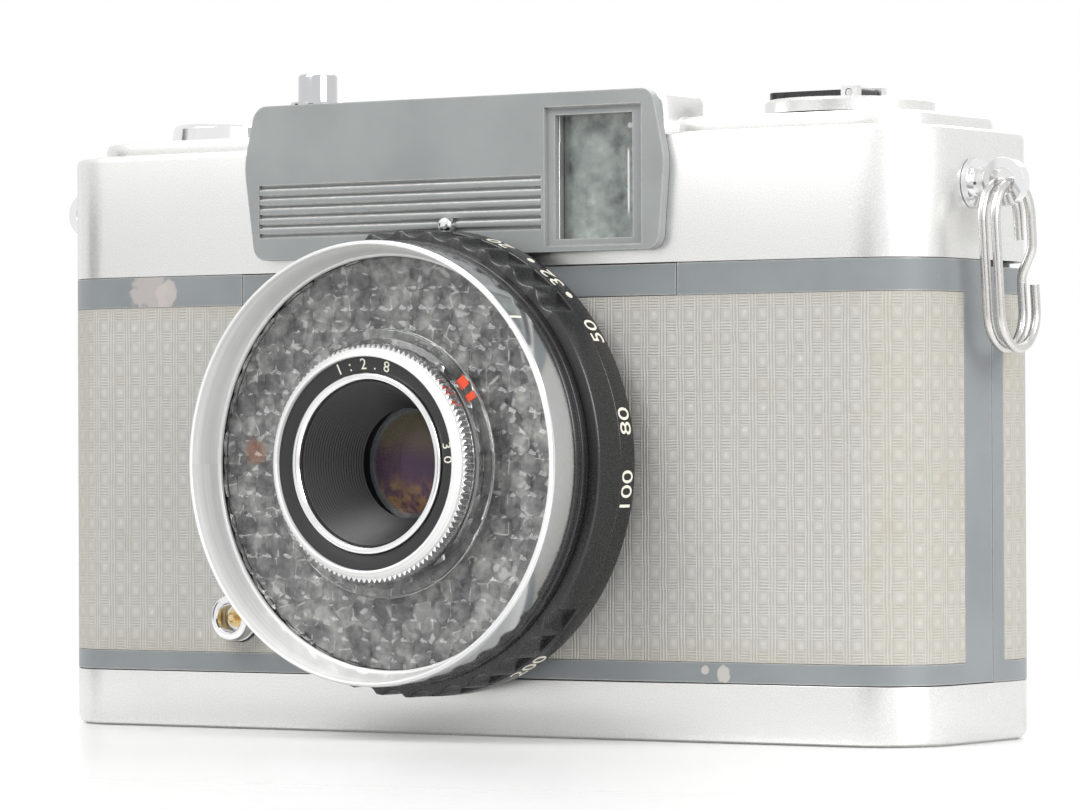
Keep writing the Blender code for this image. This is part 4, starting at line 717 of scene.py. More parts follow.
class Look(Enum):
    """The finishes of the camera."""

    BODY_PAINT = GreyPaint(
        wear=0.60,
        black_inside=True,
        spots=(
            Spot(-39.5, 46.2, 2.6, (0.46, 0.42, 0.40)),
            Spot(-37.2, 45.6, 1.6, (0.50, 0.45, 0.43)),
            Spot(31.5, 6.9, 0.9, (0.55, 0.53, 0.48)),
            Spot(29.4, 7.3, 0.5, (0.55, 0.53, 0.48)),
        ),
    )
    HOOD_PAINT = GreyPaint(
        colour=(0.297, 0.316, 0.314), edge_width=0.45, wear=0.74, ribs=(-24.2, 11.0, 51.4, 1.0, 5)
    )
    SATIN = SatinChrome()
    CHROME = PolishedChrome()
    BUTTON = PolishedChrome(colour=(0.58, 0.585, 0.60), roughness=0.07)
    LATHE = LatheChrome()
    BLACK = BlackEnamel()
    MATT_BLACK = BlackEnamel(colour=(0.010, 0.010, 0.011), roughness=0.36, wear=0.05)
    SKIN = Leatherette()
    LENSLETS = ClearPlastic(colour=(0.90, 0.905, 0.90), roughness=0.05)
    CLEAR = ClearPlastic()
    FRONT_GLASS = CoatedGlass()
    INNER_GLASS = ClearPlastic(colour=(0.95, 0.92, 0.88), roughness=0.0, ior=1.55, film=95.0)
    CELL = CellFace()
    FINDER = FinderGlass()
    WHITE_INK = Ink((0.84, 0.81, 0.70))
    RED_INK = Ink((0.80, 0.085, 0.03))
    BRASS = PlainMetal((0.72, 0.55, 0.28))
    STEEL = PlainMetal((0.62, 0.62, 0.61))
    WIRE = PlainMetal((0.66, 0.65, 0.63), 0.16)
    BLADE = PlainPlastic((0.50, 0.36, 0.23), 0.35)
    BLACK_PLASTIC = PlainPlastic((0.022, 0.022, 0.023))
    DIAL = PlainPlastic((0.80, 0.80, 0.77))

    def material(self) -> bpy.types.Material:
        """Give this finish's material, made once."""
        found = bpy.data.materials.get(self.name.lower())
        return found or self.value.make(self.name.lower())


class Bench:
    """Makes meshes with bmesh operators and settles them in the scene as pieces."""

    def __init__(self, frame: dict[str, Any]) -> None:
        """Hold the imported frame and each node's material slot."""
        self.nodes = frame["nodes"]
        self.slots = {part["node"]: part["material_slot"] for part in frame["record"]["subparts"]}

    def paint(self, look: Look, *nodes: str) -> None:
        """Keep solids as they are and give them a finish."""
        for node in nodes:
            materials = self.nodes[node].data.materials
            materials.clear()
            materials.append(look.material())

    def stand_in(self, piece: bpy.types.Object, *nodes: str) -> bpy.types.Object:
        """Let a piece stand for solids and ride where they ride."""
        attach(piece, self.nodes[nodes[0]]["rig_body"])
        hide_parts(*nodes)
        LOG.info("%s stands for %s", piece.name, ", ".join(nodes))
        return piece

    @staticmethod
    def attach(piece: bpy.types.Object, body: str, slot: str) -> None:
        """Let an added piece ride on a body."""
        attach(piece, body)

    @staticmethod
    def realised(thing: bpy.types.Object) -> bmesh.types.BMesh:
        """Give an object's final mesh, and remove the object."""
        bpy.context.view_layer.update()
        mesh = bpy.data.meshes.new_from_object(thing.evaluated_get(bpy.context.evaluated_depsgraph_get()))
        bpy.data.objects.remove(thing, do_unlink=True)
        bm = bmesh.new()
        bm.from_mesh(mesh)
        bpy.data.meshes.remove(mesh)
        return bm

    def turned(
        self,
        node: str,
        look: Look,
        profile: Sequence[Point2],
        place: Matrix,
        ease: float = 0.0,
        steps: int = 128,
        closed: bool = True,
        crease: float = 35.0,
        name: str = "",
    ) -> bpy.types.Object:
        """Turn a profile, its corners eased by a radius, and let the result stand for a solid."""
        bm = self.spun(self.eased(profile, ease) if ease else profile, steps, closed)
        return self.stand_in(self.settle(bm, name or f"{node}_dressed", look, place, crease), node)

    def settle(
        self, bm: bmesh.types.BMesh, name: str, look: Look, place: Matrix | None = None, crease: float = 35.0
    ) -> bpy.types.Object:
        """Weld a mesh made in millimetres, put it in its place and shade it.

        Args:
            bm: The mesh, which is freed.
            name: The piece's name.
            look: Its finish.
            place: Where it goes, in metres; none leaves it where it is.
            crease: The angle in degrees past which an edge stays sharp.

        Returns:
            The piece.
        """
        bmesh.ops.remove_doubles(bm, verts=bm.verts, dist=1e-4)
        bmesh.ops.recalc_face_normals(bm, faces=bm.faces)
        bmesh.ops.transform(bm, matrix=(place or Matrix()) @ Matrix.Scale(MM, 4), verts=bm.verts)
        return self._finish(bm, name, look, crease)

    def _finish(self, bm: bmesh.types.BMesh, name: str, look: Look, crease: float) -> bpy.types.Object:
        """Shade a mesh that is in place and link it to the scene."""
        limit = math.radians(crease)
        for face in bm.faces:
            face.smooth = True
        for edge in bm.edges:
            edge.smooth = len(edge.link_faces) == 2 and edge.calc_face_angle(0.0) < limit
        mesh = mesh_of(bm, name)
        mesh.materials.append(look.material())
        return link(name, mesh)

    def smooth_copy(
        self, node: str, look: Look, bevel: float = 0.0, crease: float = 32.0
    ) -> bpy.types.Object:
        """Put a welded, smoothly shaded copy of a solid in its place.

        Args:
            node: The solid.
            look: Its finish.
            bevel: Width in millimetres of the rounding of its sharp edges.
            crease: The angle in degrees past which an edge stays sharp.

        Returns:
            The copy.
        """
        bm = bmesh.new()
        bm.from_mesh(self.nodes[node].data)
        bmesh.ops.remove_doubles(bm, verts=bm.verts, dist=2e-7)
        bmesh.ops.dissolve_limit(bm, angle_limit=math.radians(0.3), verts=bm.verts, edges=bm.edges)
        piece = self._finish(bm, f"{node}_dressed", look, crease)
        normals = piece.data.attributes.get("custom_normal")
        if normals:
            piece.data.attributes.remove(normals)
        if bevel:
            soft = piece.modifiers.new("soft_edges", "BEVEL")
            soft.width = bevel * MM
            soft.segments = 2
            soft.limit_method = "ANGLE"
            soft.angle_limit = math.radians(crease)
            soft.harden_normals = True
        return self.stand_in(piece, node)

    def dress(self, *rows: tuple[Any, ...]) -> None:
        """Put smoother copies in the place of solids, each row a solid, its finish and its rounding."""
        for row in rows:
            self.smooth_copy(*row)

    @staticmethod
    def spun(profile: Sequence[Point2], steps: int = 128, closed: bool = True) -> bmesh.types.BMesh:
        """Turn a profile of (radius, height) points about Z.

        Args:
            profile: The points.
            steps: Steps of the full turn.
            closed: Whether the last point joins the first; if not, both ends are on the axis.

        Returns:
            The turned mesh.
        """
        bm = bmesh.new()
        points = [bm.verts.new((radius, 0.0, height)) for radius, height in profile]
        edges = [bm.edges.new(pair) for pair in zip(points, points[1:])]
        if closed:
            edges.append(bm.edges.new((points[-1], points[0])))
        geom = points + edges
        full = {"cent": (0, 0, 0), "axis": (0, 0, 1), "angle": math.tau, "use_merge": True}
        bmesh.ops.spin(bm, geom=geom, steps=steps, **full)
        return bm

    @staticmethod
    def eased(profile: Sequence[Point2], radius: float, steps: int = 3) -> list[Point2]:
        """Round the corners of a closed profile.

        Args:
            profile: The corners.
            radius: The rounding, which shrinks where two corners are close.
            steps: Steps of each rounding.

        Returns:
            The rounded profile.
        """
        points = []
        count = len(profile)
        for i, corner in enumerate(profile):
            here = Vector(corner)
            before = Vector(profile[i - 1]) - here
            after = Vector(profile[(i + 1) % count]) - here
            reach = min(radius, before.length * 0.4, after.length * 0.4)
            start = here + before.normalized() * reach
            end = here + after.normalized() * reach
            for k in range(steps + 1):
                share = k / steps
                point = start.lerp(here, share).lerp(here.lerp(end, share), share)
                points.append((point.x, point.y))
        return points

    @staticmethod
    def hoop(radii: Sequence[Point2], bore: float, levels: Sequence[Point2]) -> bmesh.types.BMesh:
        """Make a ring whose outside follows a list of (angle, radius) and whose bore is round.

        Args:
            radii: The outside, going round once.
            bore: The radius of the bore.
            levels: Heights from low to high, each with what the outside draws in there.

        Returns:
            The ring.
        """
        bm = bmesh.new()
        shapes = [([(a, radius - drawn) for a, radius in radii], height) for height, drawn in levels]
        shapes += [([(a, bore) for a, _ in radii], height) for height in (levels[-1][0], levels[0][0])]
        loops = []
        for shape, height in shapes:
            points = [bm.verts.new((r * math.cos(a), r * math.sin(a), height)) for a, r in shape]
            loops.append([bm.edges.new(pair) for pair in zip(points, points[1:] + points[:1])])
        for first, second in zip(loops, loops[1:] + loops[:1]):
            bmesh.ops.bridge_loops(bm, edges=first + second)
        return bm

    def lettering(
        self, text: str, name: str, look: Look, size: float, put: Callable[[float, float, float], Vector]
    ) -> bpy.types.Object:
        """Write plain numbers on a surface.

        Args:
            text: What is written.
            name: The piece's name.
            look: Its ink.
            size: Height of a digit, in millimetres.
            put: Gives the place in millimetres of a point so far along the line, up the digit and out.

        Returns:
            The piece.
        """
        curve = bpy.data.curves.new(name, "FONT")
        curve.body = text
        curve.align_x = "CENTER"
        curve.align_y = "CENTER"
        curve.size = size * FONT_SIZE
        curve.extrude = INK_THICKNESS
        curve.resolution_u = 6
        bm = self.realised(link(name, curve))
        for vert in bm.verts:
            vert.co = put(*vert.co)
        return self.settle(bm, name, look)


@dataclass
class BodyShell:
    """Painted casting, chrome covers and the pressed covering between them."""

    bench: Bench
    soft_edge: float = 0.18
    coverings: tuple[str, ...] = ("leatherette_left", "leatherette_right", "leatherette_back")

    def build(self) -> None:
        """Dress the body's solids."""
        for node in ("body_casting", "front_plate", "back_shell"):
            self.bench.smooth_copy(node, Look.BODY_PAINT, crease=24.0)
        self.bench.smooth_copy("top_cover", Look.SATIN, self.soft_edge, crease=28.0)
        self.bench.smooth_copy("base_plate", Look.SATIN, self.soft_edge, crease=28.0)
        for node in self.coverings:
            self.cover(node)

    def cover(self, node: str) -> None:
        """Lay a covering and wrap its pattern round the body's corners."""
        piece = self.bench.smooth_copy(node, Look.SKIN, crease=24.0)
        sheet = piece.data.uv_layers.new(name="skin")
        facing = -1.0 if node.endswith("back") else 1.0
        for loop in piece.data.loops:
            x, y, z = piece.data.vertices[loop.vertex_index].co / MM
            sheet.data[loop.index].uv = (self.along(x, y * facing), z)

    @staticmethod
    def along(x: float, y: float) -> float:
        """Give the distance along the body's outline from the middle of its front.

        Args:
            x: Place across the body, in millimetres.
            y: Place in depth.

        Returns:
            The distance, less than nothing on the left.
        """
        sign = math.copysign(1.0, x)
        flat, depth = SIDE - CORNER, FRONT + CORNER
        if abs(x) <= flat:
            return x
        if y <= depth:
            return sign * (flat + CORNER * math.atan2(abs(x) - flat, depth - y))
        return sign * (flat + CORNER * math.pi / 2 + y - depth)


@dataclass
class Finder:
    """Hood with its window and grooves, the eyepiece and the index pin."""

    bench: Bench
    pin: Point2 = (-0.2, 51.9)
    pin_radius: float = 0.85
    hood_front: float = -15.2

    def build(self) -> None:
        """Dress the finder's solids."""
        self.bench.dress(
            ("finder_hood", Look.HOOD_PAINT, 0.14),
            ("finder_window", Look.FINDER, 0.1),
            ("eyepiece_frame", Look.BLACK_PLASTIC, 0.3),
            ("eyepiece_lens", Look.CLEAR, 0.1),
        )
        self.bench.paint(Look.BLACK_PLASTIC, "finder_tube")
        r = self.pin_radius
        profile = [(0.0, 1.2), (r * 0.62, 1.16), (r * 0.9, 0.98), (r, 0.72), (r, 0.05), (0.0, 0.05)]
        place = facing_front(self.pin[0], self.hood_front, self.pin[1])
        self.bench.turned("index_pin", Look.CHROME, profile, place, steps=40, closed=False)


@dataclass
class ScaleRing:
    """Black setting ring: flutes above and below at its front, white numbers at its rear."""

    bench: Bench
    radius: float = 23.5
    bore: float = 20.0
    rear: float = 2.64
    front: float = 9.1
    flute_rear: float = 5.3
    flutes: int = 12
    flute_depth: float = 0.6
    sector: float = math.radians(104)
    digit: float = 2.1
    flattening: float = 0.92
    land: float = 0.22
    flute_steps: int = 10
    smooth_steps: int = 36
    ink_lift: float = 0.085
    number_depth: float = 1.36
    numbers: tuple[tuple[str, float], ...] = (
        ("100", -7.0), ("80", 10.0), ("50", 33.5), ("32", 51.5), ("20", 69.0), ("200", -60.0),
    )
    dots: tuple[float, ...] = (45.0, 59.0)

    def build(self) -> None:
        """Build the ring and its numbers."""
        front, outer = self.front, self.radius + 0.05
        levels = [(self.flute_rear - 0.3, 0.0), (front - 0.3, 0.0), (front - 0.1, 0.09), (front, 0.28)]
        ring = self.bench.hoop(self.outside(), self.bore, levels)
        fluted = self.bench.settle(ring, "scale_ring_flutes", Look.BLACK, LENS_PLACE, crease=40.0)
        self.bench.attach(fluted, "scale", "black_metal")
        band = [
            (outer, self.flute_rear), (outer, self.rear),
            (self.bore, self.rear), (self.bore, self.flute_rear),
        ]
        self.bench.turned("scale_ring", Look.BLACK, band, LENS_PLACE, 0.2, 160, name="scale_ring_band")
        for text, degrees in self.numbers:
            self.number(text, math.radians(degrees))
        for i, degrees in enumerate(self.dots):
            self.dot(i, math.radians(degrees))

    def outside(self) -> list[Point2]:
        """Give the ring's outside as (angle, radius) pairs."""
        points = []
        flute = self.sector / self.flutes
        for middle in (math.pi / 2, 3 * math.pi / 2):
            start = middle - self.sector / 2
            for i in range(self.flutes):
                for k in range(self.flute_steps):
                    share = k / self.flute_steps
                    past = max(0.0, share - self.land) / (1.0 - self.land)
                    dip = math.sin(past * math.pi) ** 0.7
                    points.append((start + (i + share) * flute, self.radius - self.flute_depth * dip))
            smooth = math.pi - self.sector
            points += [
                (start + self.sector + smooth * k / self.smooth_steps, self.radius)
                for k in range(self.smooth_steps)
            ]
        return points

    def on_band(self, along: float, up: float, out: float, angle: float) -> Vector:
        """Give the place of a point of a number on the rear band, in millimetres."""
        radius = self.radius + self.ink_lift + out
        turn = angle + along / self.radius
        depth = self.rear + self.number_depth + up
        return Vector((LENS_X + radius * math.cos(turn), FRONT - depth, LENS_Z + radius * math.sin(turn)))

    def number(self, text: str, angle: float) -> None:
        """Write one number, read upwards on the right of the ring."""

        def put(along: float, up: float, out: float) -> Vector:
            """Give the place of a point of the number, a little flattened."""
            return self.on_band(along, up * self.flattening, out, angle)

        piece = self.bench.lettering(text, f"number_{text}", Look.WHITE_INK, self.digit, put)
        self.bench.attach(piece, "scale", "white_dial")

    def dot(self, index: int, angle: float) -> None:
        """Put a dot between two numbers."""
        bm = bmesh.new()
        bmesh.ops.create_cone(bm, cap_ends=True, segments=16, radius1=0.42, radius2=0.42, depth=0.05)
        for vert in bm.verts:
            vert.co = self.on_band(*vert.co, angle)
        piece = self.bench.settle(bm, f"scale_dot_{index}", Look.WHITE_INK)
        self.bench.attach(piece, "scale", "white_dial")


@dataclass
class LightCell:
    """Cell behind its honeycomb of small lenses, with the black housing and the chrome ring round it."""

    bench: Bench
    window_radius: float = 20.7
    bore: float = 10.3
    rear: float = 10.75
    face: float = 11.2
    rise: float = 0.34
    cutter_top: float = 13.5
    tick_size: Point3 = (0.06, 0.22, 1.9)
    tick_spot: Point3 = (22.26, 0.0, 14.1)
    tick_turn: float = math.radians(40)
    pitch: float = 2.4
    levels: tuple[Point2, ...] = ((0.20, 0.52), (0.25, 0.34), (0.27, 0.14))

    def build(self) -> None:
        """Build the window, the cell, the housing and the chrome ring."""
        self.window()
        turned = self.bench.turned
        cell = [(20.7, 10.62), (20.7, 9.9), (10.5, 9.9), (10.5, 10.62)]
        turned("light_cell", Look.CELL, cell, LENS_PLACE, 0.1, 96)
        housing = [
            (22.2, 11.5), (22.35, 11.3), (22.35, 10.6), (22.1, 10.5), (22.1, 10.3), (22.35, 10.2),
            (22.35, 9.25), (10.3, 9.25), (10.3, 9.8), (20.85, 9.8), (20.85, 11.5),
        ]
        turned("cell_housing", Look.BLACK, housing, LENS_PLACE, 0.1, 160)
        bright = [
            (22.25, 15.05), (22.25, 11.56), (20.7, 11.56), (20.7, 11.9), (20.85, 12.05),
            (20.95, 12.05), (21.75, 15.4), (21.85, 15.55), (22.0, 15.55),
        ]
        turned("front_ring", Look.LATHE, bright, LENS_PLACE, 0.16, 192)
        self.tick()

    def window(self) -> None:
        """Build the honeycomb: six-sided domes on a slab, cut to a ring."""
        side = self.pitch / math.sqrt(3)
        floor = self.rear - 1.0
        bm = bmesh.new()
        rows = int(self.window_radius / side / 1.5) + 2
        for row in range(-rows, rows + 1):
            for column in range(-rows, rows + 1):
                x = (column + (row % 2) / 2) * self.pitch
                y = row * 1.5 * side
                if self.bore - 2 * self.pitch < math.hypot(x, y) < self.window_radius + 2 * self.pitch:
                    spot = Matrix.Translation((x, y, floor))
                    bmesh.ops.create_circle(bm, cap_ends=True, segments=6, radius=side, matrix=spot)
        bmesh.ops.remove_doubles(bm, verts=bm.verts, dist=1e-3)
        grown = bmesh.ops.extrude_face_region(bm, geom=bm.faces[:], use_keep_orig=True)["geom"]
        tops = [item for item in grown if isinstance(item, bmesh.types.BMFace)]
        raised = [item for item in grown if isinstance(item, bmesh.types.BMVert)]
        bmesh.ops.translate(bm, vec=(0.0, 0.0, self.face - floor), verts=raised)
        bmesh.ops.recalc_face_normals(bm, faces=bm.faces)
        for inset, lift in self.levels:
            bmesh.ops.inset_individual(
                bm, faces=tops, thickness=inset * side, depth=lift * self.rise, use_even_offset=True
            )
        domes = self.bench.settle(bm, "honeycomb_blank", Look.LENSLETS, LENS_PLACE)
        wide, bore, top = self.window_radius, self.bore, self.cutter_top
        blank = self.bench.spun([(wide, top), (wide, self.rear), (bore, self.rear), (bore, top)], 128)
        cutter = self.bench.settle(blank, "honeycomb_cutter", Look.LENSLETS, LENS_PLACE)
        step = domes.modifiers.new("trim", "BOOLEAN")
        step.operation = "INTERSECT"
        step.solver = "EXACT"
        step.object = cutter
        bm = self.bench.realised(domes)
        bpy.data.objects.remove(cutter, do_unlink=True)
        bmesh.ops.scale(bm, vec=IN_MM, verts=bm.verts)
        piece = self.bench.settle(bm, "honeycomb_window", Look.LENSLETS, crease=48.0)
        self.bench.stand_in(piece, "lenslet_window")

    def tick(self) -> None:
        """Put the white index line on the outside of the chrome ring."""
        bm = bmesh.new()
        bmesh.ops.create_cube(bm, size=1.0)
        bmesh.ops.scale(bm, vec=self.tick_size, verts=bm.verts)
        bmesh.ops.translate(bm, vec=self.tick_spot, verts=bm.verts)
        turn = Matrix.Rotation(self.tick_turn, 3, "Z")
        bmesh.ops.rotate(bm, matrix=turn, cent=(0, 0, 0), verts=bm.verts)
        piece = self.bench.settle(bm, "front_ring_tick", Look.WHITE_INK, LENS_PLACE)
        self.bench.attach(piece, "body", "white_dial")


@dataclass
class FocusMount:
    """What turns for focusing: knurled ring, clear skirt, black face with numbers, baffle and front lens."""

    bench: Bench
    teeth: int = 118
    knurl: float = 11.88
    root: float = 11.48
    ribs: int = 24
    rib_depth: float = 0.12
    face_radius: float = 9.85
    face_bore: float = 9.1
    face_depth: float = 15.3
    face_slope: float = 0.2
    ink_lift: float = 0.045
    digit: float = 1.12
    red_marks: tuple[Point2, ...] = ((38.5, 1.15), (31.0, 0.75))
    numbers: tuple[tuple[str, float], ...] = (
        ("1", 109.0), (":", 101.0), ("2", 91.5), (".", 83.5), ("8", 75.0), ("3", 10.0), ("0", 2.0),
    )

    def build(self) -> None:
        """Build the mount's pieces."""
        turned = self.bench.turned
        self.ring()
        skirt = [
            (11.9, 13.45), (12.5, 13.0), (13.3, 12.95), (13.5, 12.8),
            (13.5, 12.45), (11.28, 12.45), (11.28, 13.45),
        ]
        turned("clear_skirt", Look.CLEAR, skirt, LENS_PLACE, 0.12)
        face = [(10.6, 15.6), (10.6, 15.02), (9.1, 15.02), (9.1, 15.3)]
        turned("face_ring", Look.MATT_BLACK, face, LENS_PLACE, 0.05)
        trim = [(8.85, 15.75), (9.05, 15.55), (9.05, 15.0), (8.2, 15.0), (8.2, 15.4), (8.5, 15.75)]
        turned("trim_ring", Look.CHROME, trim, LENS_PLACE, 0.1)
        self.baffle()
        lens = [
            (0.0, 7.65), (1.5, 7.6), (3.0, 7.42), (4.4, 7.08),
            (5.4, 6.72), (5.95, 6.5), (5.95, 5.4), (0.0, 5.05),
        ]
        turned("front_lens", Look.FRONT_GLASS, lens, LENS_PLACE, steps=96, closed=False)
        self.marks()

    def ring(self) -> None:
        """Build the chrome ring and its knurl."""
        profile = [
            (10.9, 16.03), (11.5, 15.45), (11.5, 13.5), (11.2, 13.5), (11.2, 12.1),
            (10.15, 12.1), (10.15, 14.97), (10.65, 14.97), (10.65, 16.03),
        ]
        self.bench.turned("focus_ring", Look.LATHE, profile, LENS_PLACE, 0.14, 160)
        radii = [
            (math.tau * (i + share) / self.teeth, radius)
            for i in range(self.teeth)
            for share, radius in ((0.0, self.root), (0.42, self.knurl), (0.58, self.knurl))
        ]
        knurl = self.bench.hoop(radii, 11.3, [(13.62, 0.12), (13.75, 0.0), (15.0, 0.0), (15.15, 0.14)])
        piece = self.bench.settle(knurl, "focus_knurl", Look.CHROME, LENS_PLACE, crease=20.0)
        self.bench.attach(piece, "focus", "bright_chrome")

    def baffle(self) -> None:
        """Build the ribbed cone in front of the lens."""
        wide, throat = Vector((8.12, 14.95)), Vector((5.6, 8.0))
        cone = []
        for i in range(self.ribs):
            for share, lift in ((0.0, 0.0), (0.5, 1.0), (0.62, 1.0)):
                spot = throat.lerp(wide, (i + share) / self.ribs)
                cone.append((spot.x - lift * self.rib_depth, spot.y))
        profile = [
            (10.05, 14.95), (10.05, 13.2), (8.85, 13.2), (8.85, 5.0),
            (6.05, 5.0), (6.05, 7.7), *cone, (8.12, 14.95),
        ]
        self.bench.turned(
            "light_baffle", Look.MATT_BLACK, profile, LENS_PLACE, steps=96, crease=20.0, name="baffle_dressed"
        )

    def on_face(self, along: float, up: float, out: float, angle: float) -> Vector:
        """Give the place of a point of a number on the black face, in millimetres."""
        turn = angle - along / self.face_radius
        radius = self.face_radius + up
        depth = self.face_depth + (radius - self.face_bore) * self.face_slope + self.ink_lift + out
        return Vector((LENS_X + radius * math.cos(turn), FRONT - depth, LENS_Z + radius * math.sin(turn)))

    def marks(self) -> None:
        """Write the numbers on the face and put the red marks on the skirt."""
        for i, (text, degrees) in enumerate(self.numbers):
            put = partial(self.on_face, angle=math.radians(degrees))
            piece = self.bench.lettering(text, f"lens_number_{i}", Look.WHITE_INK, self.digit, put)
            self.bench.attach(piece, "focus", "white_dial")
        for i, (degrees, wide) in enumerate(self.red_marks):
            bm = bmesh.new()
            bmesh.ops.create_cube(bm, size=1.0)
            bmesh.ops.scale(bm, vec=(1.15, wide, 0.05), verts=bm.verts)
            bmesh.ops.translate(bm, vec=(12.75, 0.0, 13.03), verts=bm.verts)
            turn = Matrix.Rotation(math.radians(degrees), 3, "Z")
            bmesh.ops.rotate(bm, matrix=turn, cent=(0, 0, 0), verts=bm.verts)
            piece = self.bench.settle(bm, f"skirt_mark_{i}", Look.RED_INK, LENS_PLACE)
            self.bench.attach(piece, "focus", "clear_plastic")


@dataclass
class LensInside:
    """Fixed parts behind the focusing mount."""

    bench: Bench

    def build(self) -> None:
        """Dress the lens's inner solids."""
        self.bench.dress(
            ("lens_mount", Look.BLACK),
            ("lens_barrel", Look.MATT_BLACK),
            ("middle_lens", Look.INNER_GLASS),
            ("rear_lens", Look.INNER_GLASS),
            ("shutter_case", Look.MATT_BLACK),
            ("shutter_cover", Look.STEEL),
            ("rear_cell", Look.MATT_BLACK),
        )
        self.bench.paint(Look.BLADE, "blade_left", "blade_right")


@dataclass
class FlashSocket:
    """Flash socket low on the front."""

    bench: Bench
    x: float = -27.8
    z: float = 11.7

    def build(self) -> None:
        """Build the socket's ring and dress its contact."""
        rim = [
            (0.0, 0.22), (1.5, 0.22), (1.55, 0.3), (1.55, 1.85), (1.68, 1.98), (2.02, 2.0),
            (2.3, 1.85), (2.42, 1.55), (2.42, 0.6), (2.5, 0.5), (2.5, -0.4), (0.0, -0.4),
        ]
        place = facing_front(self.x, FRONT, self.z)
        self.bench.turned("flash_socket", Look.CHROME, rim, place, steps=64, closed=False)
        self.bench.smooth_copy("flash_contact", Look.BRASS)


@dataclass
class TopControls:
    """Shutter button, frame counter, rewind crank and thumbwheel."""

    bench: Bench
    button: Point2 = (-29.1, 2.0)
    counter: Point2 = (-41.0, 1.0)
    counter_numbers: int = 8
    dial_top: float = 60.5
    dial_radius: float = 2.6

    def count(self, index: int) -> None:
        """Write one number of the frame counter on its dial."""
        angle = math.tau * index / self.counter_numbers

        def on_dial(along: float, up: float, out: float) -> Vector:
            """Give the place of a point of the number, in millimetres."""
            turn = angle - along / self.dial_radius
            radius = self.dial_radius + up
            x, y = radius * math.cos(turn), radius * math.sin(turn)
            return Vector((self.counter[0] + x, self.counter[1] + y, self.dial_top + 0.05 + out))

        piece = self.bench.lettering(str(index * 10), f"count_{index * 10}", Look.BLACK_PLASTIC, 0.9, on_dial)
        self.bench.attach(piece, "counter", "black_plastic")

    def build(self) -> None:
        """Build the button and dress the other controls."""
        place = Matrix.Translation(Vector((*self.button, 0.0)) * MM)
        collar = [
            (2.85, 66.4), (3.0, 66.2), (3.0, 62.9), (3.15, 62.75), (3.6, 62.6), (3.6, 62.15),
            (3.0, 62.15), (3.0, 60.7), (2.25, 60.7), (2.25, 66.2), (2.4, 66.4),
        ]
        self.bench.turned("button_collar", Look.BUTTON, collar, place, steps=64)
        press = [
            (0.0, 68.35), (0.9, 68.4), (1.1, 68.6), (1.2, 69.3),
            (1.32, 69.4), (1.8, 69.4), (2.0, 69.3), (2.1, 69.1),
            (2.1, 60.4), (2.9, 60.2), (2.9, 59.6), (1.4, 59.6), (1.4, 58.0), (0.0, 58.0),
        ]
        self.bench.turned("shutter_button", Look.BUTTON, press, place, steps=64, closed=False)
        self.bench.dress(
            ("counter_bezel", Look.CHROME, 0.1), ("counter_window", Look.CLEAR), ("counter_dial", Look.DIAL)
        )
        for i in range(self.counter_numbers):
            self.count(i)
        self.bench.paint(Look.STEEL, "crank_pin")
        self.bench.dress(
            ("rewind_knob", Look.SATIN, 0.08),
            ("rewind_crank", Look.BLACK, 0.08),
            ("wind_wheel", Look.SATIN, 0.06),
        )


@dataclass
class StrapFittings:
    """Lugs on both sides and the wire clip that hangs in the right one."""

    bench: Bench
    eye: Point3 = (56.85, -2.3, 55.0)
    wire: float = 0.95
    lanes: float = 1.42
    bend: float = 3.6
    straight: float = 9.1
    tilt: float = math.radians(6)

    def build(self) -> None:
        """Dress the lugs and wind the clip."""
        for side in ("left", "right"):
            self.bench.smooth_copy(f"strap_lug_{side}", Look.CHROME, 0.12)
        self.clip()

    def path(self) -> list[Vector]:
        """Give the wire's line from the top of the loop, as (lane, y, z) in millimetres."""
        low = -self.bend - self.straight
        middle = -self.bend - self.straight / 2
        near, far = -self.lanes / 2, self.lanes / 2
        arc = [math.pi * i / 24 for i in range(25)]
        over = [(self.bend * math.cos(a), -self.bend + self.bend * math.sin(a)) for a in arc]
        under = [(-self.bend * math.cos(a), low - self.bend * math.sin(a)) for a in arc]
        first = [Vector((near, self.bend, middle + 2.2))] + [Vector((near, y, z)) for y, z in over + under]
        joggle = [
            Vector((near + (far - near) * (3 - 2 * t) * t * t, self.bend, middle - 1.9 + 3.8 * t))
            for t in (i / 10 for i in range(11))
        ]
        second = [Vector((far, y, z)) for y, z in over + under] + [Vector((far, self.bend, middle - 2.2))]
        return first + joggle + second

    def clip(self) -> None:
        """Wind the clip as one wire."""
        curve = bpy.data.curves.new("strap_clip_wire", "CURVE")
        curve.dimensions = "3D"
        curve.bevel_depth = self.wire / 2 * MM
        curve.bevel_resolution = 5
        curve.use_fill_caps = True
        points = self.path()
        spline = curve.splines.new("POLY")
        spline.points.add(len(points) - 1)
        place = Matrix.Translation(Vector(self.eye) * MM) @ Matrix.Rotation(self.tilt, 4, "X")
        for spot, point in zip(spline.points, points):
            spot.co = (*(place @ (point * MM)), 1.0)
        bm = self.bench.realised(link("strap_clip_wire", curve))
        bmesh.ops.scale(bm, vec=IN_MM, verts=bm.verts)
        self.bench.stand_in(self.bench.settle(bm, "strap_clip_dressed", Look.WIRE, crease=50.0), "strap_clip")


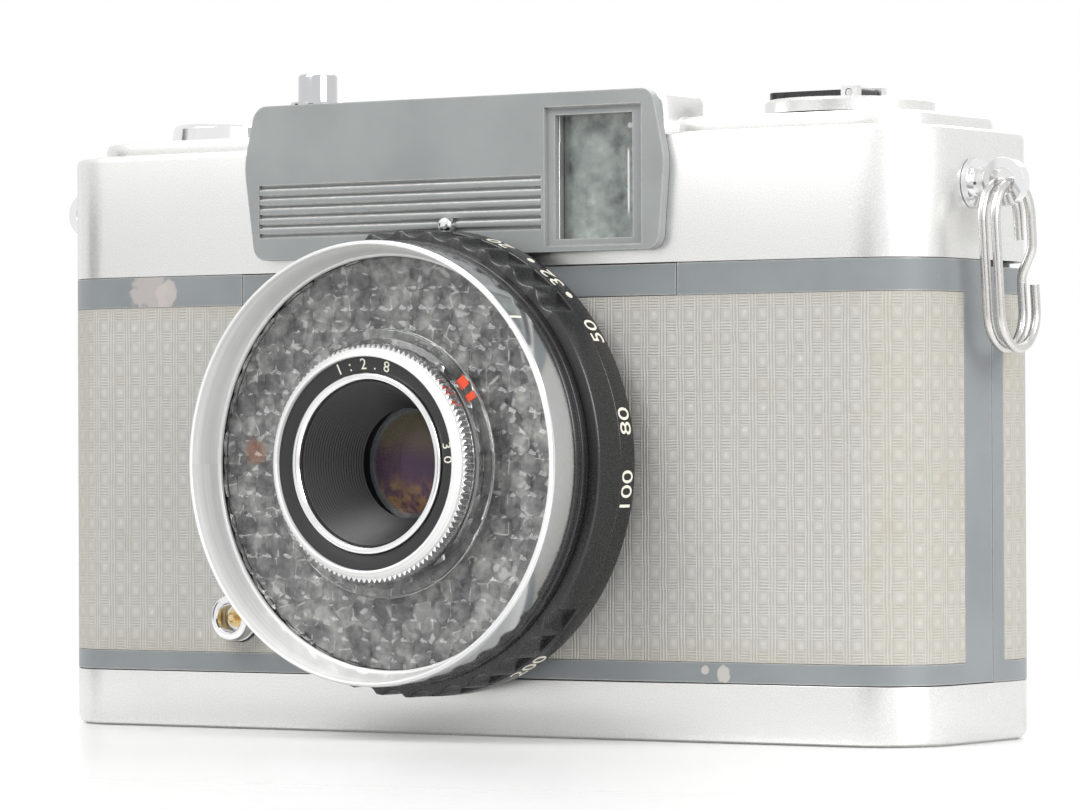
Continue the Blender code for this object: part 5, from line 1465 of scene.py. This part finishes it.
@dataclass
class FilmParts:
    """Winding train, film path and the base's fittings, seen when the back is off or from below."""

    bench: Bench

    def build(self) -> None:
        """Dress the inner solids and the base's fittings."""
        self.bench.paint(Look.BRASS, "idler_gear", "wind_bridge")
        self.bench.paint(Look.STEEL, "film_sprocket", "pressure_spring")
        self.bench.dress(
            ("take_up_spool", Look.BLACK_PLASTIC),
            ("pressure_plate", Look.BLACK, 0.1),
            ("tripod_bush", Look.BRASS),
            ("lock_key", Look.SATIN, 0.06),
            ("lock_handle", Look.CHROME, 0.06),
            ("release_button", Look.STEEL, 0.1),
        )


@dataclass
class Studio:
    """Camera, lamps, pale floor and white surroundings."""

    eye: Point3 = (307.406, -461.253, 28.480)
    yaw: float = 33.623
    pitch: float = 0.541
    roll: float = -0.25
    focal: float = 177.84
    lamps: tuple[tuple[str, Point3, float, float], ...] = (
        ("key", (-0.35, -0.75, 0.95), 0.7, 8.8),
        ("fill", (0.95, -0.30, 0.45), 0.6, 7.5),
        ("back", (-0.2, 0.7, 0.8), 0.8, 5.0),
    )
    cards: tuple[tuple[str, Point3, float], ...] = (
        ("left_card", (-0.75, -0.35, 0.10), 0.13),
        ("front_card", (0.10, -1.10, -0.05), 0.20),
        ("right_card", (0.80, 0.02, 0.10), 0.11),
    )
    light_share: float = 0.62
    floor_size: float = 0.6

    def build(self) -> None:
        """Set the scene round the camera."""
        scene = bpy.context.scene
        scene.view_settings.view_transform = "Standard"
        self.camera()
        self.world()
        self.floor()
        for name, spot, size, power in self.lamps:
            self.lamp(name, Vector(spot), size, power)
        for name, spot, size in self.cards:
            self.card(name, spot, size)

    def camera(self) -> None:
        """Put the camera where the photograph was taken from."""
        yaw, pitch, roll = (math.radians(a) for a in (self.yaw, self.pitch, self.roll))
        ahead = Vector((-math.sin(yaw) * math.cos(pitch), math.cos(yaw) * math.cos(pitch), math.sin(pitch)))
        right = Vector((math.cos(yaw), math.sin(yaw), 0.0))
        up = right.cross(ahead)
        right, up = math.cos(roll) * right + math.sin(roll) * up, math.cos(roll) * up - math.sin(roll) * right
        turn = Matrix((right, up, -ahead)).transposed().to_4x4()
        lens = bpy.data.cameras.new("photo_camera")
        lens.sensor_width = 36.0
        lens.sensor_fit = "HORIZONTAL"
        lens.lens = self.focal
        view = link("photo_camera", lens)
        view.matrix_world = Matrix.Translation(Vector(self.eye) * MM) @ turn
        bpy.context.scene.camera = view

    def world(self) -> None:
        """Make the surroundings white to the eye and in reflections, and softer as light."""
        world = bpy.data.worlds.new("studio")
        world.use_nodes = True
        bpy.context.scene.world = world
        nodes, links = world.node_tree.nodes, world.node_tree.links
        paths = nodes.new("ShaderNodeLightPath")
        seen = nodes.new("ShaderNodeMath")
        seen.operation = "MAXIMUM"
        links.new(paths.outputs["Is Camera Ray"], seen.inputs[0])
        links.new(paths.outputs["Is Glossy Ray"], seen.inputs[1])
        strength = nodes.new("ShaderNodeMapRange")
        strength.inputs["To Min"].default_value = self.light_share
        strength.inputs["To Max"].default_value = 1.0
        links.new(seen.outputs[0], strength.inputs["Value"])
        background = nodes["Background"]
        background.inputs["Color"].default_value = (1.0, 1.0, 1.0, 1.0)
        links.new(strength.outputs[0], background.inputs["Strength"])

    def floor(self) -> None:
        """Lay a pale floor that shows a soft reflection and fades into the white round it."""
        bm = bmesh.new()
        bmesh.ops.create_grid(bm, x_segments=2, y_segments=2, size=self.floor_size)
        mesh = mesh_of(bm, "floor")
        s = Shader("floor")
        p = s.place()
        x, y, _ = s.split(p)
        far = (x * x + y * y * 3.0) ** 0.5
        above = 1.0 - s.add("ShaderNodeNewGeometry", output="Backfacing")
        mesh.materials.append(
            s.coat(
                Base_Color=s.mix(s.noise(p, 0.004, 2.0), (0.90, 0.90, 0.90), (0.92, 0.92, 0.92)),
                Roughness=0.22,
                Alpha=far.between(70.0, 260.0, 0.9, 0.0) * above,
            )
        )
        link("floor", mesh)

    @staticmethod
    def card(name: str, spot: Point3, size: float) -> None:
        """Stand a dark card out of sight, for the bright metal to reflect."""
        bm = bmesh.new()
        turn = (MIDDLE - Vector(spot)).to_track_quat("Z", "Y").to_matrix().to_4x4()
        place = Matrix.Translation(spot) @ turn
        bmesh.ops.create_grid(bm, x_segments=1, y_segments=1, size=size, matrix=place)
        mesh = mesh_of(bm, name)
        mesh.materials.append(Look.BLACK_PLASTIC.material())
        card = link(name, mesh)
        card.visible_camera = False
        card.visible_diffuse = False
        card.visible_shadow = False

    @staticmethod
    def lamp(name: str, spot: Vector, size: float, power: float) -> None:
        """Hang a soft lamp that looks at the camera's middle."""
        light = bpy.data.lights.new(name, "AREA")
        light.size = size
        light.energy = power
        lamp = link(name, light)
        lamp.location = spot
        lamp.rotation_euler = (MIDDLE - spot).to_track_quat("-Z", "Y").to_euler()


def main() -> None:
    """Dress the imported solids, piece by piece."""
    logging.basicConfig(level=logging.INFO, format="%(name)s: %(message)s")
    for old in list(bpy.data.objects):
        bpy.data.objects.remove(old, do_unlink=True)
    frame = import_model()
    bench = Bench(frame)
    assemblies = (
        BodyShell, Finder, LensInside, ScaleRing, LightCell,
        FocusMount, FlashSocket, TopControls, StrapFittings, FilmParts,
    )
    for assembly in assemblies:
        assembly(bench).build()
        LOG.info("%s is dressed", assembly.__name__)
    Studio().build()


if __name__ == "__main__":
    main()
